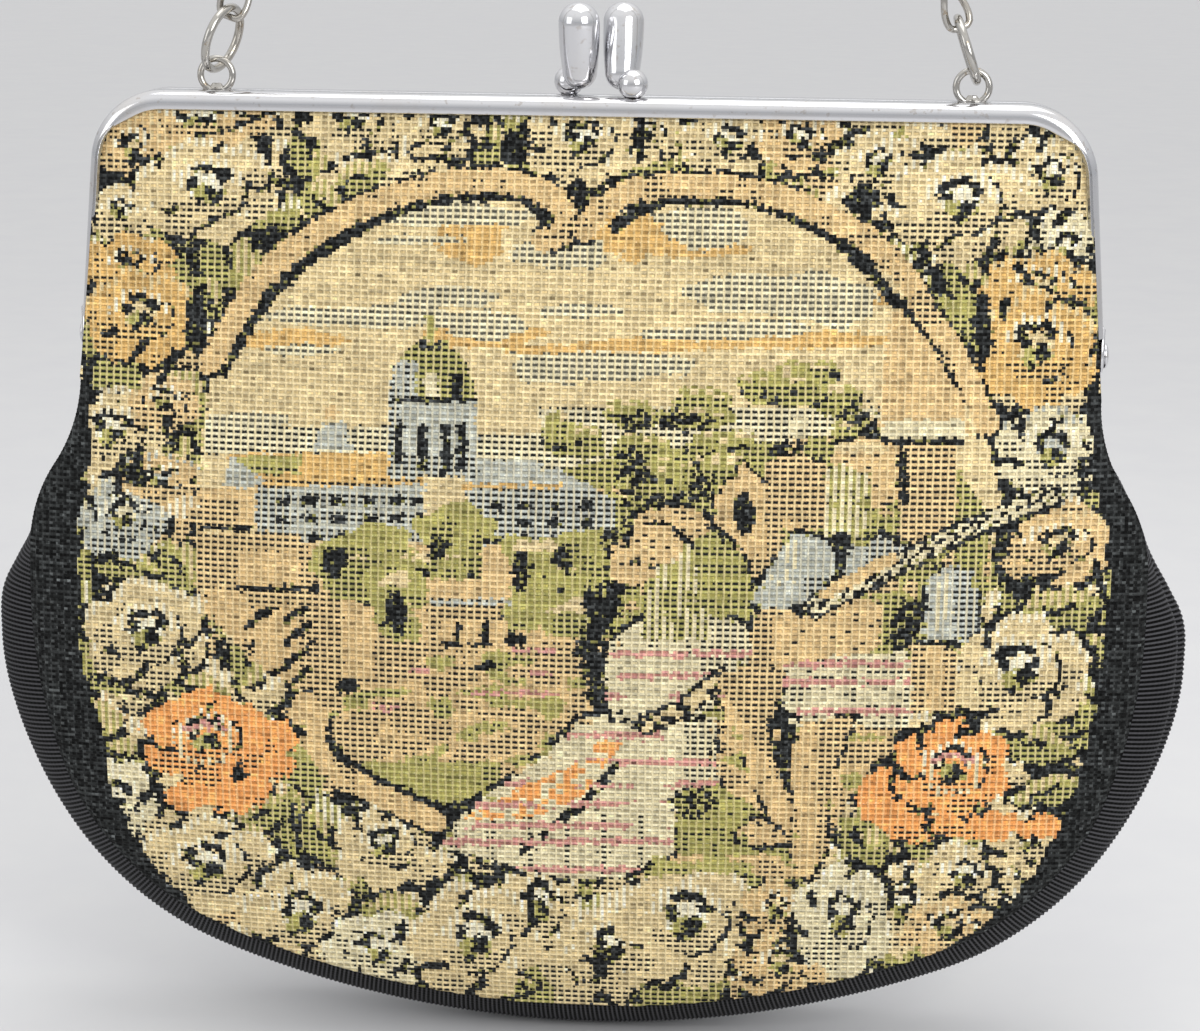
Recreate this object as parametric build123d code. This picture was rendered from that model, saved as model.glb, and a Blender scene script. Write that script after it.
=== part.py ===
"""Evening purse with a snap frame, a woven front, a ribbon gusset and a chain handle (mm, +Z up).

The front faces -Y. The purse is drawn above the lowest point of its ribbon, then moved so that the
origin is at the middle of the bend of its chain, where a hand or a hook holds it.
"""

import os
from math import atan2, copysign, cos, degrees, hypot, pi, radians, sin, sqrt

from build123d import *

# Frame: two halves of channel section that meet on the plane y = 0
frame_top = 169.0  # above the lowest point of the ribbon
frame_width = 178.0  # outside, across the hinges
hinge_drop = 43.0  # hinge axis below the frame top
arm_splay = 3.6  # how far each arm leans in from the hinge to the top
corner_radius = 13.0
half_depth = 5.0  # one half, front to back
half_gap = 0.4  # between the closed halves
frame_wall = 0.9
top_lip = 3.3  # height of the lips along the top
arm_lip = 1.5  # width of the lips along the arms
frame_bevel = 1.3

# Hinges: one flat tab of each half side by side on a rivet
tab_radius = 3.2
tab_sides = 12
tab_neck = 3.0  # width of the strip that joins a tab to its arm
tab_gap = 0.3  # between the two tabs of a hinge
arm_foot_gap = 0.4  # between a tab's rim and the foot of the other arm
end_block = 1.8  # height of the solid end of each back arm
rivet_radius = 1.2
rivet_head_radius = 2.2
rivet_head = 0.9
rivet_head_sides = 16
running_gap = 0.15
fit_gap = 0.05

# Clasp: two leaning knobs side by side, one on each half
clasp_shift = 1.8  # middle of the clasp, right of the middle of the frame
knob_radius = 3.5
knob_length = 15.2
knob_foot_share = 0.85  # radius of a knob's lower end against its widest
knob_bands = 3  # bands in each rounded end
knob_sides = 20
knob_pole_angle = 68.0  # degrees from the widest place to the flat at a pole
ball_bands = 4
ball_sides = 14
knob_lean = 17.0  # degrees
knob_gap = 0.3  # between the two knobs
knob_lift = 0.8  # lowest point of a knob above the frame
knob_reach = 1.0  # how far the middle of a knob is beyond the plane between the halves
ball_radius = 2.6
ball_sink = 0.4  # flat foot of the ball, below its round form
ball_offset = 2.0  # ball outward of its knob's axis

# Chain: eyelets on the back half, jump rings and curb links
eyelet_inset = 24.0  # from the side of the frame
eyelet_radius = 3.4
eyelet_wire = 1.2
eyelet_sides = 24
eyelet_lift = 2.4  # centre above the frame top
eyelet_set = 0.9  # middle of its thickness behind the meeting face of the back half
ring_radius = 6.3
ring_wire = 1.5
ring_wire_sides = 6
ring_sides = 24
ring_play = 0.32  # between ring and eyelet, and between ring and link
left_ring_turn = 15.0  # degrees about the upright, from edge-on
link_width = 5.9
link_length = 8.6
link_wire = 1.2
link_sections = 8
link_skew = 0.7  # how far each corner of a link is off its middle plane
link_turn = 80.0  # degrees between the end bars of a link
link_play = 0.2
chain_lean = 19.0  # degrees, each run from upright
chain_bend_radius = 25.0  # of the bend at the top

# Bag: two crowned panels, a ribbon between them and a lining
panel_width = 195.2
seam_rise = 7.5  # lowest point of the panel's seam above the lowest point of the ribbon
bag_half_depth = 20.5  # at the fullest place
seam_half_depth = 12.5
panel_thickness = 1.2
lining_thickness = 0.5
cloth_gap = 0.1
ribbon_thickness = 0.8
ribbon_facets = 4  # straight strips across its bowed width
crown_facets = 6  # straight strips across a panel
lining_inset = 3.0  # lining's edge inside the seam
cord_size = 0.9
channel_play = 0.2
notch_margin = 1.1  # clear of the hinge all round
waist_drop = 7.0  # narrowest place of the cloth below the hinge

# Shape of the seam: arcs from the middle of the bottom up to the widest place
bottom_arc_angle = 21.4
corner_arc_angle = 51.0
corner_arc_share = 0.51  # of the panel's half width
side_arc_share = 1.05
straight_side_share = 0.2  # of the height from the widest place to the waist

# Crown of a panel: heights from seam to hinge, then depths against bag_half_depth
crown_height_shares = (-0.07, 0.1, 0.3, 0.52, 0.72, 0.87, 1.02)
crown_middle_shares = (0.53, 0.756, 0.935, 1.0, 0.955, 0.855, 0.683)
crown_edge_shares = (0.40, 0.405, 0.555, 0.605, 0.53, 0.33, 0.089)
upper_height_share = 0.56  # one more section, between the hinge and the lip
upper_middle_share = 0.43
upper_edge_share = 0.135
channel_bow = 0.06  # the cloth in the channel isn't quite straight

# Ribbon: stretches along each arc of the seam, and at the end of each arc its depth and bulge
# against those at the bottom
ribbon_stretches = (3, 4, 2, 1, 2, 2)
ribbon_depth_shares = (1.0, 1.0, 1.0, 0.94, 0.76, 0.33)
ribbon_bulge_shares = (1.0, 1.0, 1.0, 0.5, 0.2, -0.3)

# Worked out from the sizes above
hinge_z = frame_top - hinge_drop
half_width = frame_width / 2
half_panel = panel_width / 2
arm_foot_z = hinge_z + tab_radius + arm_foot_gap
half_front = half_gap / 2 + half_depth  # front face of the front half, from y = 0
waist_z = hinge_z - waist_drop
lip_z = frame_top - top_lip
cloth_top_z = frame_top - frame_wall - channel_play
cloth_face = half_front - frame_wall - channel_play  # outer face of the panel in the channel
front_tab_x = half_width - frame_wall
back_tab_x = front_tab_x - tab_gap - frame_wall
half_middle = half_gap / 2 + half_depth / 2
eyelet_y = half_gap / 2 + eyelet_set
eyelet_reach = half_width - eyelet_inset
eyelet_z = frame_top + eyelet_lift
pivot_z = eyelet_z + eyelet_radius - eyelet_wire / 2
ring_path = ring_radius - ring_wire / 2


def arm_half_width(z):
    """Half the frame's outside width at a height."""
    return half_width - arm_splay * (z - hinge_z) / hinge_drop


def arch(top_inset, side_inset, foot_z):
    """Area under the frame's outline, drawn in by the two insets, down to foot_z."""
    top_z = frame_top - top_inset
    foot_x = arm_half_width(foot_z) - side_inset
    head_x = arm_half_width(top_z) - side_inset
    left_side = [(-foot_x, foot_z), (-head_x, top_z)]
    right_side = [(head_x, top_z), (foot_x, foot_z)]
    area = make_face(Polyline(*left_side, *right_side, close=True))
    corners = area.vertices().group_by(Axis.Y)[-1]
    return fillet(corners, corner_radius - max(top_inset, side_inset))


def on_front(area, start, depth):
    """Solid from an area drawn on the front view, from start in front of y = 0 and on forward."""
    return extrude(Plane.XZ.offset(start) * area, depth)


def flat_faced(rings, closed=False, split=False):
    """Solid with flat faces between rings of corners.

    Closed joins the last ring to the first. Split cuts each four-cornered face in two, where its corners
    may not lie in one plane.
    """
    pairs = list(zip(rings, rings[1:]))
    outlines = [rings[0], rings[-1]]
    if closed:
        pairs.append((rings[-1], rings[0]))
        outlines = []
    for ring, following in pairs:
        for i in range(len(ring)):
            j = i - 1
            if split:
                outlines.append([ring[j], ring[i], following[i]])
                outlines.append([ring[j], following[i], following[j]])
            else:
                outlines.append([ring[j], ring[i], following[i], following[j]])
    return Solid(Shell([Face(Wire.make_polygon(outline)) for outline in outlines]))


def hinge_tab(side, inner_x):
    """Flat tab of one half at the right hinge; side is -1 for the front half and 1 for the back."""
    neck_top = arm_foot_z + end_block
    neck_height = neck_top - hinge_z
    neck_middle = side * (half_gap / 2 + tab_neck / 2)
    area = Pos(0, hinge_z) * RegularPolygon(tab_radius, tab_sides)
    area += Pos(neck_middle, hinge_z + neck_height / 2) * Rectangle(tab_neck, neck_height)
    hole_gap = running_gap if side < 0 else fit_gap
    area -= Pos(0, hinge_z) * Circle(rivet_radius + hole_gap)
    return extrude(Plane.YZ.offset(inner_x) * area, frame_wall)


def both_sides(solid):
    """A solid on the right and its mirror image on the left."""
    return [solid, mirror(solid, Plane.YZ)]


def channel_half():
    """Front half's channel: a rounded arch with lips and a slot, open to the inside."""
    half = on_front(arch(0, 0, arm_foot_z), half_gap / 2, half_depth)
    front_face = half.faces().sort_by(Axis.Y)[0]
    rim = front_face.edges().sort_by(Axis.Z)[1:]
    half = chamfer(rim, frame_bevel)
    below = arm_foot_z - top_lip
    half -= on_front(arch(top_lip, arm_lip, below), 0, half_depth + half_gap)
    slot_depth = half_depth - 2 * frame_wall
    half -= on_front(arch(frame_wall, frame_wall, below), half_gap / 2 + frame_wall, slot_depth)
    return half


def front_frame():
    """Front half with its outer hinge tabs."""
    half = channel_half()
    for tab in both_sides(hinge_tab(-1, front_tab_x)):
        half += tab
    return half


def back_frame():
    """Back half: the channel turned round, with inner hinge tabs on solid ends."""
    half = mirror(channel_half(), Plane.XZ)
    block_width = half_width - back_tab_x
    block_x = half_width - block_width / 2
    block = Box(block_width, half_depth, end_block)
    block = Pos(block_x, half_middle, arm_foot_z + end_block / 2) * block
    block &= mirror(on_front(arch(0, 0, arm_foot_z), half_gap / 2, half_depth), Plane.XZ)
    for piece in both_sides(block) + both_sides(hinge_tab(1, back_tab_x)):
        half += piece
    return half


def hinge_rivet():
    """Right rivet: a shank through both tabs, fast in the back one, with its head outside."""
    shank_start = back_tab_x
    shank_end = half_width + running_gap
    shank = extrude(Plane.YZ.offset(shank_start) * Circle(rivet_radius), shank_end - shank_start)
    head = extrude(Plane.YZ * RegularPolygon(rivet_head_radius, rivet_head_sides), rivet_head)
    return Pos(0, 0, hinge_z) * (shank + Pos(shank_end) * head)


def knob_x(side):
    """Place of a knob's axis; side is 1 for the front knob, on the right, and -1 for the back one."""
    return clasp_shift + side * (knob_radius + knob_gap / 2)


def ball_x(side):
    """Place of the ball at a knob's foot."""
    return knob_x(side) + side * ball_offset


def below_frame_top():
    """Everything below the flat top of the frame, to cut a foot flat."""
    return Pos(0, 0, frame_top / 2) * Box(frame_width, frame_width, frame_top)


def arc_points(centre, radius, start, end, steps):
    """Points on an arc about a centre, from one angle to another in degrees."""
    angles = [radians(start + (end - start) * i / steps) for i in range(steps + 1)]
    return [(centre[0] + radius * cos(a), centre[1] + radius * sin(a)) for a in angles]


def turned(profile, sides):
    """Many-sided solid about Z through radius and height pairs, from the bottom up."""
    rings = []
    for radius, z in profile:
        turns = [2 * pi * i / sides for i in range(sides)]
        rings.append([Vector(radius * cos(a), radius * sin(a), z) for a in turns])
    return flat_faced(rings)


def clasp_knob(side):
    """Knob that leans over the other half, on a ball with a flat foot."""
    foot_radius = knob_radius * knob_foot_share
    foot = arc_points((0, foot_radius), foot_radius, -knob_pole_angle, 0, knob_bands)
    crown_z = knob_length - knob_radius
    crown = arc_points((0, crown_z), knob_radius, 0, knob_pole_angle, knob_bands)
    bullet = Pos(0, 0, -knob_length / 2) * turned(foot + crown, knob_sides)
    bullet = Rot(-side * knob_lean) * bullet
    bullet = Pos(knob_x(side), side * knob_reach, frame_top + knob_lift + knob_length / 2) * bullet
    round_half = arc_points((0, 0), ball_radius, -knob_pole_angle, knob_pole_angle, ball_bands)
    ball_z = frame_top + ball_radius - ball_sink
    ball = Pos(ball_x(side), -side * half_middle, ball_z) * turned(round_half, ball_sides)
    return bullet + (ball - below_frame_top())


def chain_eyelet():
    """Right eyelet: a flat ring on edge, its foot flat on the frame."""
    flat = RegularPolygon(eyelet_radius, eyelet_sides)
    flat -= RegularPolygon(eyelet_radius - eyelet_wire, eyelet_sides)
    ring = extrude(Plane.XZ * flat, eyelet_wire / 2, both=True)
    return Pos(eyelet_reach, eyelet_y, eyelet_z) * ring - below_frame_top()


def ring_drop():
    """How far the middle of a ring's lowest wire hangs below the pivot in the eyelet."""
    eyelet_corner = hypot(eyelet_wire, eyelet_wire) / 2
    return eyelet_corner + ring_wire / 2 + ring_play


def jump_ring(x, turn, lean):
    """Ring hung in an eyelet at x, turned about the upright and leaning with the chain."""
    corners = arc_points((0, 0), ring_path, 0, 360 - 360 / ring_sides, ring_sides - 1)
    path = Polyline(*corners, close=True)
    wire = Plane(path @ 0, z_dir=path % 0) * RegularPolygon(ring_wire / 2, ring_wire_sides)
    ring = sweep(wire, path, transition=Transition.RIGHT)
    ring = Pos(0, 0, ring_path - ring_drop()) * Rot(0, 90, 0) * ring
    return Pos(x, eyelet_y, pivot_z) * Rot(0, lean, 0) * Rot(0, 0, -turn) * ring


def ring_top(x, lean):
    """Place in the front view of the middle of a leaning ring's highest wire."""
    rise = 2 * ring_path - ring_drop()
    return x + rise * sin(radians(lean)), pivot_z + rise * cos(radians(lean))


def chain_link():
    """One curb link along Z: eight straight bars of square wire, its ends skewed against each other.

    The wire is cut square across the two end bars and the two side bars, so that all its faces are flat.
    """
    half_step = pi / link_sections
    half_long = (link_length - link_wire) / 2 / cos(half_step)
    half_wide = (link_width - link_wire) / 2
    half_side = link_wire * sqrt(pi) / 4
    upward = Vector(0, half_side, 0)
    rings = []
    for step in range(link_sections):
        turn = half_step * (2 * step + 1)
        skew = copysign(link_skew, sin(turn) * cos(turn))
        here = Vector(half_wide * sin(turn), skew, half_long * cos(turn))
        if abs(cos(turn)) > abs(sin(turn)):
            outward = Vector(0, 0, copysign(half_side, cos(turn)))
        else:
            outward = Vector(copysign(half_side, sin(turn)), 0, 0)
        rings.append([here + outward + upward, here + outward - upward])
        rings[-1] += [here - outward - upward, here - outward + upward]
    return flat_faced(rings, closed=True)


def chain_foot():
    """Place of the left ring's top in the front view, and length of each straight run of the chain."""
    lean = radians(chain_lean)
    foot_x, foot_z = ring_top(-eyelet_reach, chain_lean)
    run = (-foot_x - chain_bend_radius * cos(lean)) / sin(lean)
    return foot_x, foot_z, run


def chain_bend_z():
    """Height of the centre of the chain's bend."""
    lean = radians(chain_lean)
    foot_x, foot_z, run = chain_foot()
    return foot_z + run * cos(lean) - chain_bend_radius * sin(lean)


def chain_places():
    """Frames of all links from the left ring over the bend to the right ring."""
    lean = radians(chain_lean)
    foot_x, foot_z, run = chain_foot()
    bend = chain_bend_radius * (pi / 2 - lean)
    hook = (ring_wire + link_wire) / 2 + ring_play
    pitch = link_length - 2 * link_wire - link_play
    first = (link_length - link_wire) / 2 - hook
    total = 2 * (run + bend)
    count = round((total - 2 * first) / pitch) + 1
    step = (total - 2 * first) / (count - 1)
    places = []
    for i in range(count):
        along = first + i * step
        side = 1 if along > total / 2 else -1
        reach = min(along, total - along)
        if reach < run:
            slope = lean
            x = -foot_x - reach * sin(lean)
            z = foot_z + reach * cos(lean)
        else:
            slope = lean + (reach - run) / chain_bend_radius
            x = chain_bend_radius * cos(slope)
            z = chain_bend_z() + chain_bend_radius * sin(slope)
        heading = Vector(sin(slope), 0, -side * cos(slope))
        roll = left_ring_turn - link_turn / 2
        roll += (link_turn - left_ring_turn) * i / (count - 1)
        across = heading.cross(Vector(0, 1, 0)) * cos(radians(roll))
        across += Vector(0, 1, 0) * sin(radians(roll))
        places.append(Plane(Vector(side * x, eyelet_y, z), x_dir=across, z_dir=heading))
    return places


def chain_runs():
    """The links of the chain, left half and right half."""
    link = chain_link()
    links = [place.location * link for place in chain_places()]
    half = (len(links) + 1) // 2
    return Compound(children=links[:half]), Compound(children=links[half:])


def seam_arcs(inset):
    """Right half of the seam's outline, drawn in by inset, from the bottom to the waist."""
    start = radians(bottom_arc_angle)
    end = start + radians(corner_arc_angle)
    corner = half_panel * corner_arc_share
    side = half_panel * side_arc_share
    bottom = (half_panel - corner * (sin(end) - sin(start)) - side * (1 - sin(end))) / sin(start)
    last_angle = 90 - bottom_arc_angle - corner_arc_angle
    first = JernArc((0, seam_rise + inset), (1, 0), bottom - inset, bottom_arc_angle)
    second = JernArc(first @ 1, first % 1, corner - inset, corner_arc_angle)
    third = JernArc(second @ 1, second % 1, side - inset, last_angle)
    widest_z = (third @ 1).Y
    shoulder_z = widest_z + straight_side_share * (waist_z - widest_z)
    upright = Line(third @ 1, (half_panel - inset, shoulder_z))
    waist_x = arm_half_width(waist_z) - frame_wall - channel_play
    rise = waist_z - shoulder_z
    draw_in = half_panel - waist_x
    bend = (rise**2 + draw_in**2) / (4 * draw_in)
    bend_angle = 2 * degrees(atan2(draw_in, rise))
    shoulder = JernArc(upright @ 1, (0, 1), bend - inset, bend_angle)
    waist = JernArc(shoulder @ 1, shoulder % 1, bend + inset, -bend_angle)
    return [first, second, third, upright, shoulder, waist]


def cloth_area(inset):
    """Front view of a panel: inside the seam below, inside the channel above, cut out at the hinges."""
    right = seam_arcs(inset)
    left = [mirror(edge, Plane.YZ) for edge in right]
    closing = Line(right[-1] @ 1, left[-1] @ 1)
    below = make_face(right + left + [closing])
    side_inset = frame_wall + channel_play
    above = arch(frame_top - cloth_top_z, side_inset + inset, waist_z)
    notch_foot = hinge_z - tab_radius - notch_margin
    notch_height = arm_foot_z + end_block + notch_margin - notch_foot
    notch_reach = half_width - back_tab_x + rivet_head + notch_margin
    notch = Rectangle(2 * notch_reach, notch_height)
    area = below + above
    for x in (-half_width, half_width):
        area -= Pos(x, notch_foot + notch_height / 2) * notch
    return area


def crown_sections():
    """Height, depth at the middle and depth at the edge of each section of the crowned cloth."""
    rise = hinge_z - seam_rise
    sections = []
    for height, middle, edge in zip(crown_height_shares, crown_middle_shares, crown_edge_shares):
        sections.append((seam_rise + height * rise, bag_half_depth * middle, bag_half_depth * edge))
    upper_z = hinge_z + upper_height_share * (lip_z - hinge_z)
    upper = (upper_z, bag_half_depth * upper_middle_share, bag_half_depth * upper_edge_share)
    sections.append(upper)
    sections.append((lip_z, cloth_face + channel_bow, cloth_face))
    sections.append((frame_top, cloth_face + channel_bow, cloth_face))
    return sections


def crowned_sheet(start, thickness):
    """Front sheet of cloth in straight strips, its outer face start behind the crown, wider than the bag."""
    reach = half_panel + 2 * seam_rise
    slices = []
    for z, middle, edge in crown_sections():
        outer = []
        for i in range(crown_facets + 1):
            x = reach * (2 * i / crown_facets - 1)
            outer.append((x, start - middle + (middle - edge) * (x / half_panel) ** 2))
        inner = [(x, y + thickness) for x, y in reversed(outer)]
        slices.append(Pos(0, 0, z) * make_face(Polyline(*outer, *inner, close=True)))
    return loft(slices, ruled=True)


def cloth_panel(start, thickness, inset):
    """Crowned sheet cut to its outline."""
    prism = on_front(cloth_area(inset), 0, 2 * bag_half_depth)
    return crowned_sheet(start, thickness) & prism


def bulged_strip(place, depth, bulge):
    """Corners of the ribbon's cross-section: a bowed strip across the bag's depth, outward from the seam."""
    outer = []
    for i in range(ribbon_facets + 1):
        across = 2 * i / ribbon_facets - 1
        outer.append(place.from_local_coords(Vector(bulge * (1 - across**2), depth * across, 0)))
    inner = [corner - place.x_dir * ribbon_thickness for corner in reversed(outer)]
    return outer + inner


def ribbon_stations():
    """Seam point, seam direction, depth share and bulge share at stations from the bottom to the right waist."""
    arcs = seam_arcs(0)
    stations = [(arcs[0] @ 0, arcs[0] % 0, 1.0, 1.0)]
    for i, arc in enumerate(arcs):
        depth_end = ribbon_depth_shares[i]
        bulge_end = ribbon_bulge_shares[i]
        depth_start = ribbon_depth_shares[max(i - 1, 0)]
        bulge_start = ribbon_bulge_shares[max(i - 1, 0)]
        for step in range(1, ribbon_stretches[i] + 1):
            t = step / ribbon_stretches[i]
            depth = depth_start + (depth_end - depth_start) * t
            bulge = bulge_start + (bulge_end - bulge_start) * t
            stations.append((arc @ t, arc % t, depth, bulge))
    return stations


def gusset_ribbon():
    """Ribbon along the seam, its ends drawn in under the hinges, cut off at the panels."""
    right = ribbon_stations()
    left = []
    for point, heading, depth, bulge in reversed(right[1:]):
        left.append((Vector(-point.X, point.Y), Vector(heading.X, -heading.Y), depth, bulge))
    strips = []
    for point, heading, depth, bulge in left + right:
        outward = Vector(heading.Y, 0, -heading.X)
        place = Plane((point.X, 0, point.Y), x_dir=outward, z_dir=(heading.X, 0, heading.Y))
        half = (seam_half_depth - panel_thickness) * depth
        strips.append(bulged_strip(place, half, seam_rise * bulge))
    ribbon = flat_faced(strips, split=True)
    beyond = crowned_sheet(panel_thickness + cloth_gap, 2 * bag_half_depth)
    beyond = Pos(0, -2 * bag_half_depth) * beyond
    return ribbon - beyond - mirror(beyond, Plane.XZ)


def packing_cord():
    """Pressed paper cord in the front half's top channel, behind the cloth."""
    length = 2 * (arm_half_width(frame_top) - corner_radius)
    cloth = panel_thickness + lining_thickness + 2 * cloth_gap
    y = -cloth_face + cloth + cord_size / 2
    return Pos(0, y, cloth_top_z - cord_size / 2) * Box(length, cord_size, cord_size)


def main():
    os.makedirs("parts", exist_ok=True)
    left_links, right_links = chain_runs()
    panel = cloth_panel(0, panel_thickness, 0)
    lining = cloth_panel(panel_thickness + cloth_gap, lining_thickness, lining_inset)
    cord = packing_cord()
    nodes = {
        "front_frame": front_frame(),
        "back_frame": back_frame(),
        "right_hinge_rivet": hinge_rivet(),
        "left_hinge_rivet": mirror(hinge_rivet(), Plane.YZ),
        "front_clasp_knob": clasp_knob(1),
        "back_clasp_knob": clasp_knob(-1),
        "right_chain_eyelet": chain_eyelet(),
        "left_chain_eyelet": mirror(chain_eyelet(), Plane.YZ),
        "right_jump_ring": jump_ring(eyelet_reach, 0, -chain_lean),
        "left_jump_ring": jump_ring(-eyelet_reach, left_ring_turn, chain_lean),
        "left_chain": left_links,
        "right_chain": right_links,
        "front_panel": panel,
        "back_panel": mirror(panel, Plane.XZ),
        "gusset_ribbon": gusset_ribbon(),
        "front_lining": lining,
        "back_lining": mirror(lining, Plane.XZ),
        "front_packing_cord": cord,
        "back_packing_cord": mirror(cord, Plane.XZ),
    }
    to_origin = Pos(0, -eyelet_y, -chain_bend_z() - chain_bend_radius)
    for name, shape in nodes.items():
        export_step(to_origin * shape, f"parts/{name}.step")


main()
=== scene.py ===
"""Evening purse with a woven pastoral front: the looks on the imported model.

Lengths are millimetres as the part's source draws them: above the lowest point of the ribbon, and about the
plane between the two halves of the frame. placed() turns them into the row frame, in metres.
"""

from math import atan, cos, hypot, pi, radians, sin, tan

import bmesh
import bpy
import numpy as np
from mathutils import Matrix, Vector


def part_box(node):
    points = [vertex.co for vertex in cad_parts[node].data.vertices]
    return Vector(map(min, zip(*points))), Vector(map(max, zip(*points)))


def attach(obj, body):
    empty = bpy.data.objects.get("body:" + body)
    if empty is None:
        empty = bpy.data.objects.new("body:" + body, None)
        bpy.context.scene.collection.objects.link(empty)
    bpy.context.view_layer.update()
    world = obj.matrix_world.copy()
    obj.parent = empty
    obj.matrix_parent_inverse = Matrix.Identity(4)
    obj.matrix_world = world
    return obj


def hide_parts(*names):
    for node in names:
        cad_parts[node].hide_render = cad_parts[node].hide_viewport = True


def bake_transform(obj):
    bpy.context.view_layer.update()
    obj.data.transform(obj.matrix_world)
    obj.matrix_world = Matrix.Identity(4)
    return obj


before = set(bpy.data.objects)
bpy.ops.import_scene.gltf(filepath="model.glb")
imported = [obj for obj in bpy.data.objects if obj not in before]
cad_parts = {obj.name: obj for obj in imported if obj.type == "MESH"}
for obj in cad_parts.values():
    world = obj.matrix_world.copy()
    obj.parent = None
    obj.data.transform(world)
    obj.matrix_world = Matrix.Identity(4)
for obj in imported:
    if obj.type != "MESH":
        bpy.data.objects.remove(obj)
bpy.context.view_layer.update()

# Frame
frame_top = 169.0
half_width = 89.0
hinge_z = 126.0
arm_splay = 3.6
corner_radius = 13.0
half_gap = 0.4
half_depth = 5.0
frame_wall = 0.9
top_lip = 3.3
arm_lip = 1.5
round_edge = 2.1
arm_foot_z = 129.6
tab_radius = 3.2
tab_neck_height = 5.4
tab_neck_half = 1.5
tab_edge = 0.25
block_height = 1.8
block_inset = 0.5
block_short = 1.2
lip_curl = 0.35
front_tab_x = 88.1
back_tab_x = 86.9
rivet_head_radius = 2.2
rivet_head = 0.9
rivet_shank = 1.2
rivet_gap = 0.15

# Clasp
clasp_shift = 1.8
knob_radius = 3.5
knob_foot_share = 0.85
knob_length = 15.2
knob_lean = 17.0
knob_gap = 0.3
knob_lift = 0.8
knob_reach = 1.0
ball_radius = 2.6
ball_sink = 0.4
ball_offset = 2.0
knob_belly = 0.16

# Chain
eyelet_reach = 65.0
eyelet_radius = 3.4
eyelet_wire = 1.2
eyelet_lift = 2.4
eyelet_y = 1.1
ring_radius = 6.3
ring_wire = 1.5
ring_play = 0.32
solder_foot = 1.7
solder_neck = 0.6
solder_height = 1.0
left_ring_turn = 15.0
link_width = 5.9
link_length = 8.6
link_wire = 1.2
link_skew = 0.7
link_turn = 80.0
link_play = 0.2
chain_lean = 19.0
chain_bend_radius = 25.0

# Bag
half_panel = 97.6
seam_rise = 7.5
panel_thickness = 1.2
cloth_gap = 0.1
lining_inset = 3.0
lining_bend_lag = 3.4
cloth_top = 167.6
cloth_inset = 1.1
waist_z = 119.0
bottom_arc_angle = radians(21.4)
corner_arc_angle = radians(51.0)
corner_arc_radius = 0.51 * half_panel
side_arc_radius = 1.05 * half_panel
straight_side_share = 0.2
stitch_width = 1.296
stitch_height = 1.008
rib_pitch = 0.8
rib_height = 0.17
stitch_relief = 0.09
roll_width = 2.2
seam_roll = 0.9
channel_roll = 0.1
ribbon_tuck = 10.0
tuck_shift = 3.6
tuck_reach = 3.0
tuck_lean = 0.1
tuck_taper = 0.35
crease_depth = 1.3
crease_place = -0.28
crease_width = 0.13
slack_fade = (166, 140)  # heights between which the cloth's slack grows from nothing
bend_start = (0.0, -6.0, 117.0)  # start of the front cloth's bend, which bent() works out but does not apply
bend_end = (0.0, 0.73, 120.03)  # end of that bend, past which the cloth would be wholly with the front half

# Woven picture: lengths in the photograph's pixels, apart from the ground in mm
ragged_across = 1.4
ragged_down = 1.1
comb_height = 9
petal_spacing = 43
left_ground = 7.5  # black ground beside the seam
right_ground = 5.0
speck_share = 0.1
black_limit = 0.2  # threads darker than this count as black

# Camera: the photograph's own, in its frame of 1200 by 1031 pixels
photo_width = 1200
photo_height = 1031
camera_eye = np.array([37.69, -473.78, 205.01])
camera_target = np.array([2.48, 0.0, 95.24])
camera_roll = radians(0.64)
camera_view = radians(24.6)

half_middle = half_gap / 2 + half_depth / 2
eyelet_z = frame_top + eyelet_lift
pivot_z = eyelet_z + eyelet_radius - eyelet_wire / 2
ground_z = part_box("gusset_ribbon")[0].z
middle_y = (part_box("front_panel")[0].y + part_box("back_panel")[1].y) / 2
metre = 0.001
chance = np.random.default_rng(7)


def placed(points):
    """Drawing millimetres to the row frame in metres."""
    return np.asarray(points, float) * metre + np.array([0.0, middle_y, ground_z])


def smooth_step(low, high, x):
    """0 below low, 1 above high, a smooth rise between."""
    t = np.clip((x - low) / (high - low), 0, 1)
    return t * t * (3 - 2 * t)


def smooth_through(xs, ys, x):
    """Cubic curve through points, each with the slope between its neighbours."""
    xs, ys = np.asarray(xs, float), np.asarray(ys, float)
    slopes = np.gradient(ys, xs)
    i = np.clip(np.searchsorted(xs, x) - 1, 0, len(xs) - 2)
    step = xs[i + 1] - xs[i]
    t = np.clip((x - xs[i]) / step, 0, 1)
    start = (1 + 2 * t) * (1 - t) ** 2 * ys[i] + t * (1 - t) ** 2 * step * slopes[i]
    end = t * t * (3 - 2 * t) * ys[i + 1] + t * t * (t - 1) * step * slopes[i + 1]
    return start + end


def turned_about(points, axis, angle):
    """Points turned about an axis through the origin, in degrees by the right-hand rule."""
    turn = np.array(Matrix.Rotation(radians(angle), 3, Vector(axis)))
    return points @ turn.T


def grid_quads(rows, columns, round_rows=False, round_columns=False):
    """Corner numbers of the quads of a grid; a round direction joins its last line to its first."""
    i, j = np.meshgrid(
        np.arange(rows if round_rows else rows - 1),
        np.arange(columns if round_columns else columns - 1),
        indexing="ij",
    )
    below, right = (i + 1) % rows, (j + 1) % columns
    corners = [i * columns + j, i * columns + right, below * columns + right, below * columns + j]
    return np.stack(corners, -1).reshape(-1, 4)


def many(shapes):
    """Several (points, quads) pairs as one."""
    starts = np.cumsum([0] + [len(points) for points, quads in shapes[:-1]])
    return (
        np.concatenate([points for points, quads in shapes]),
        np.concatenate([quads + start for (points, quads), start in zip(shapes, starts)]),
    )


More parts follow.
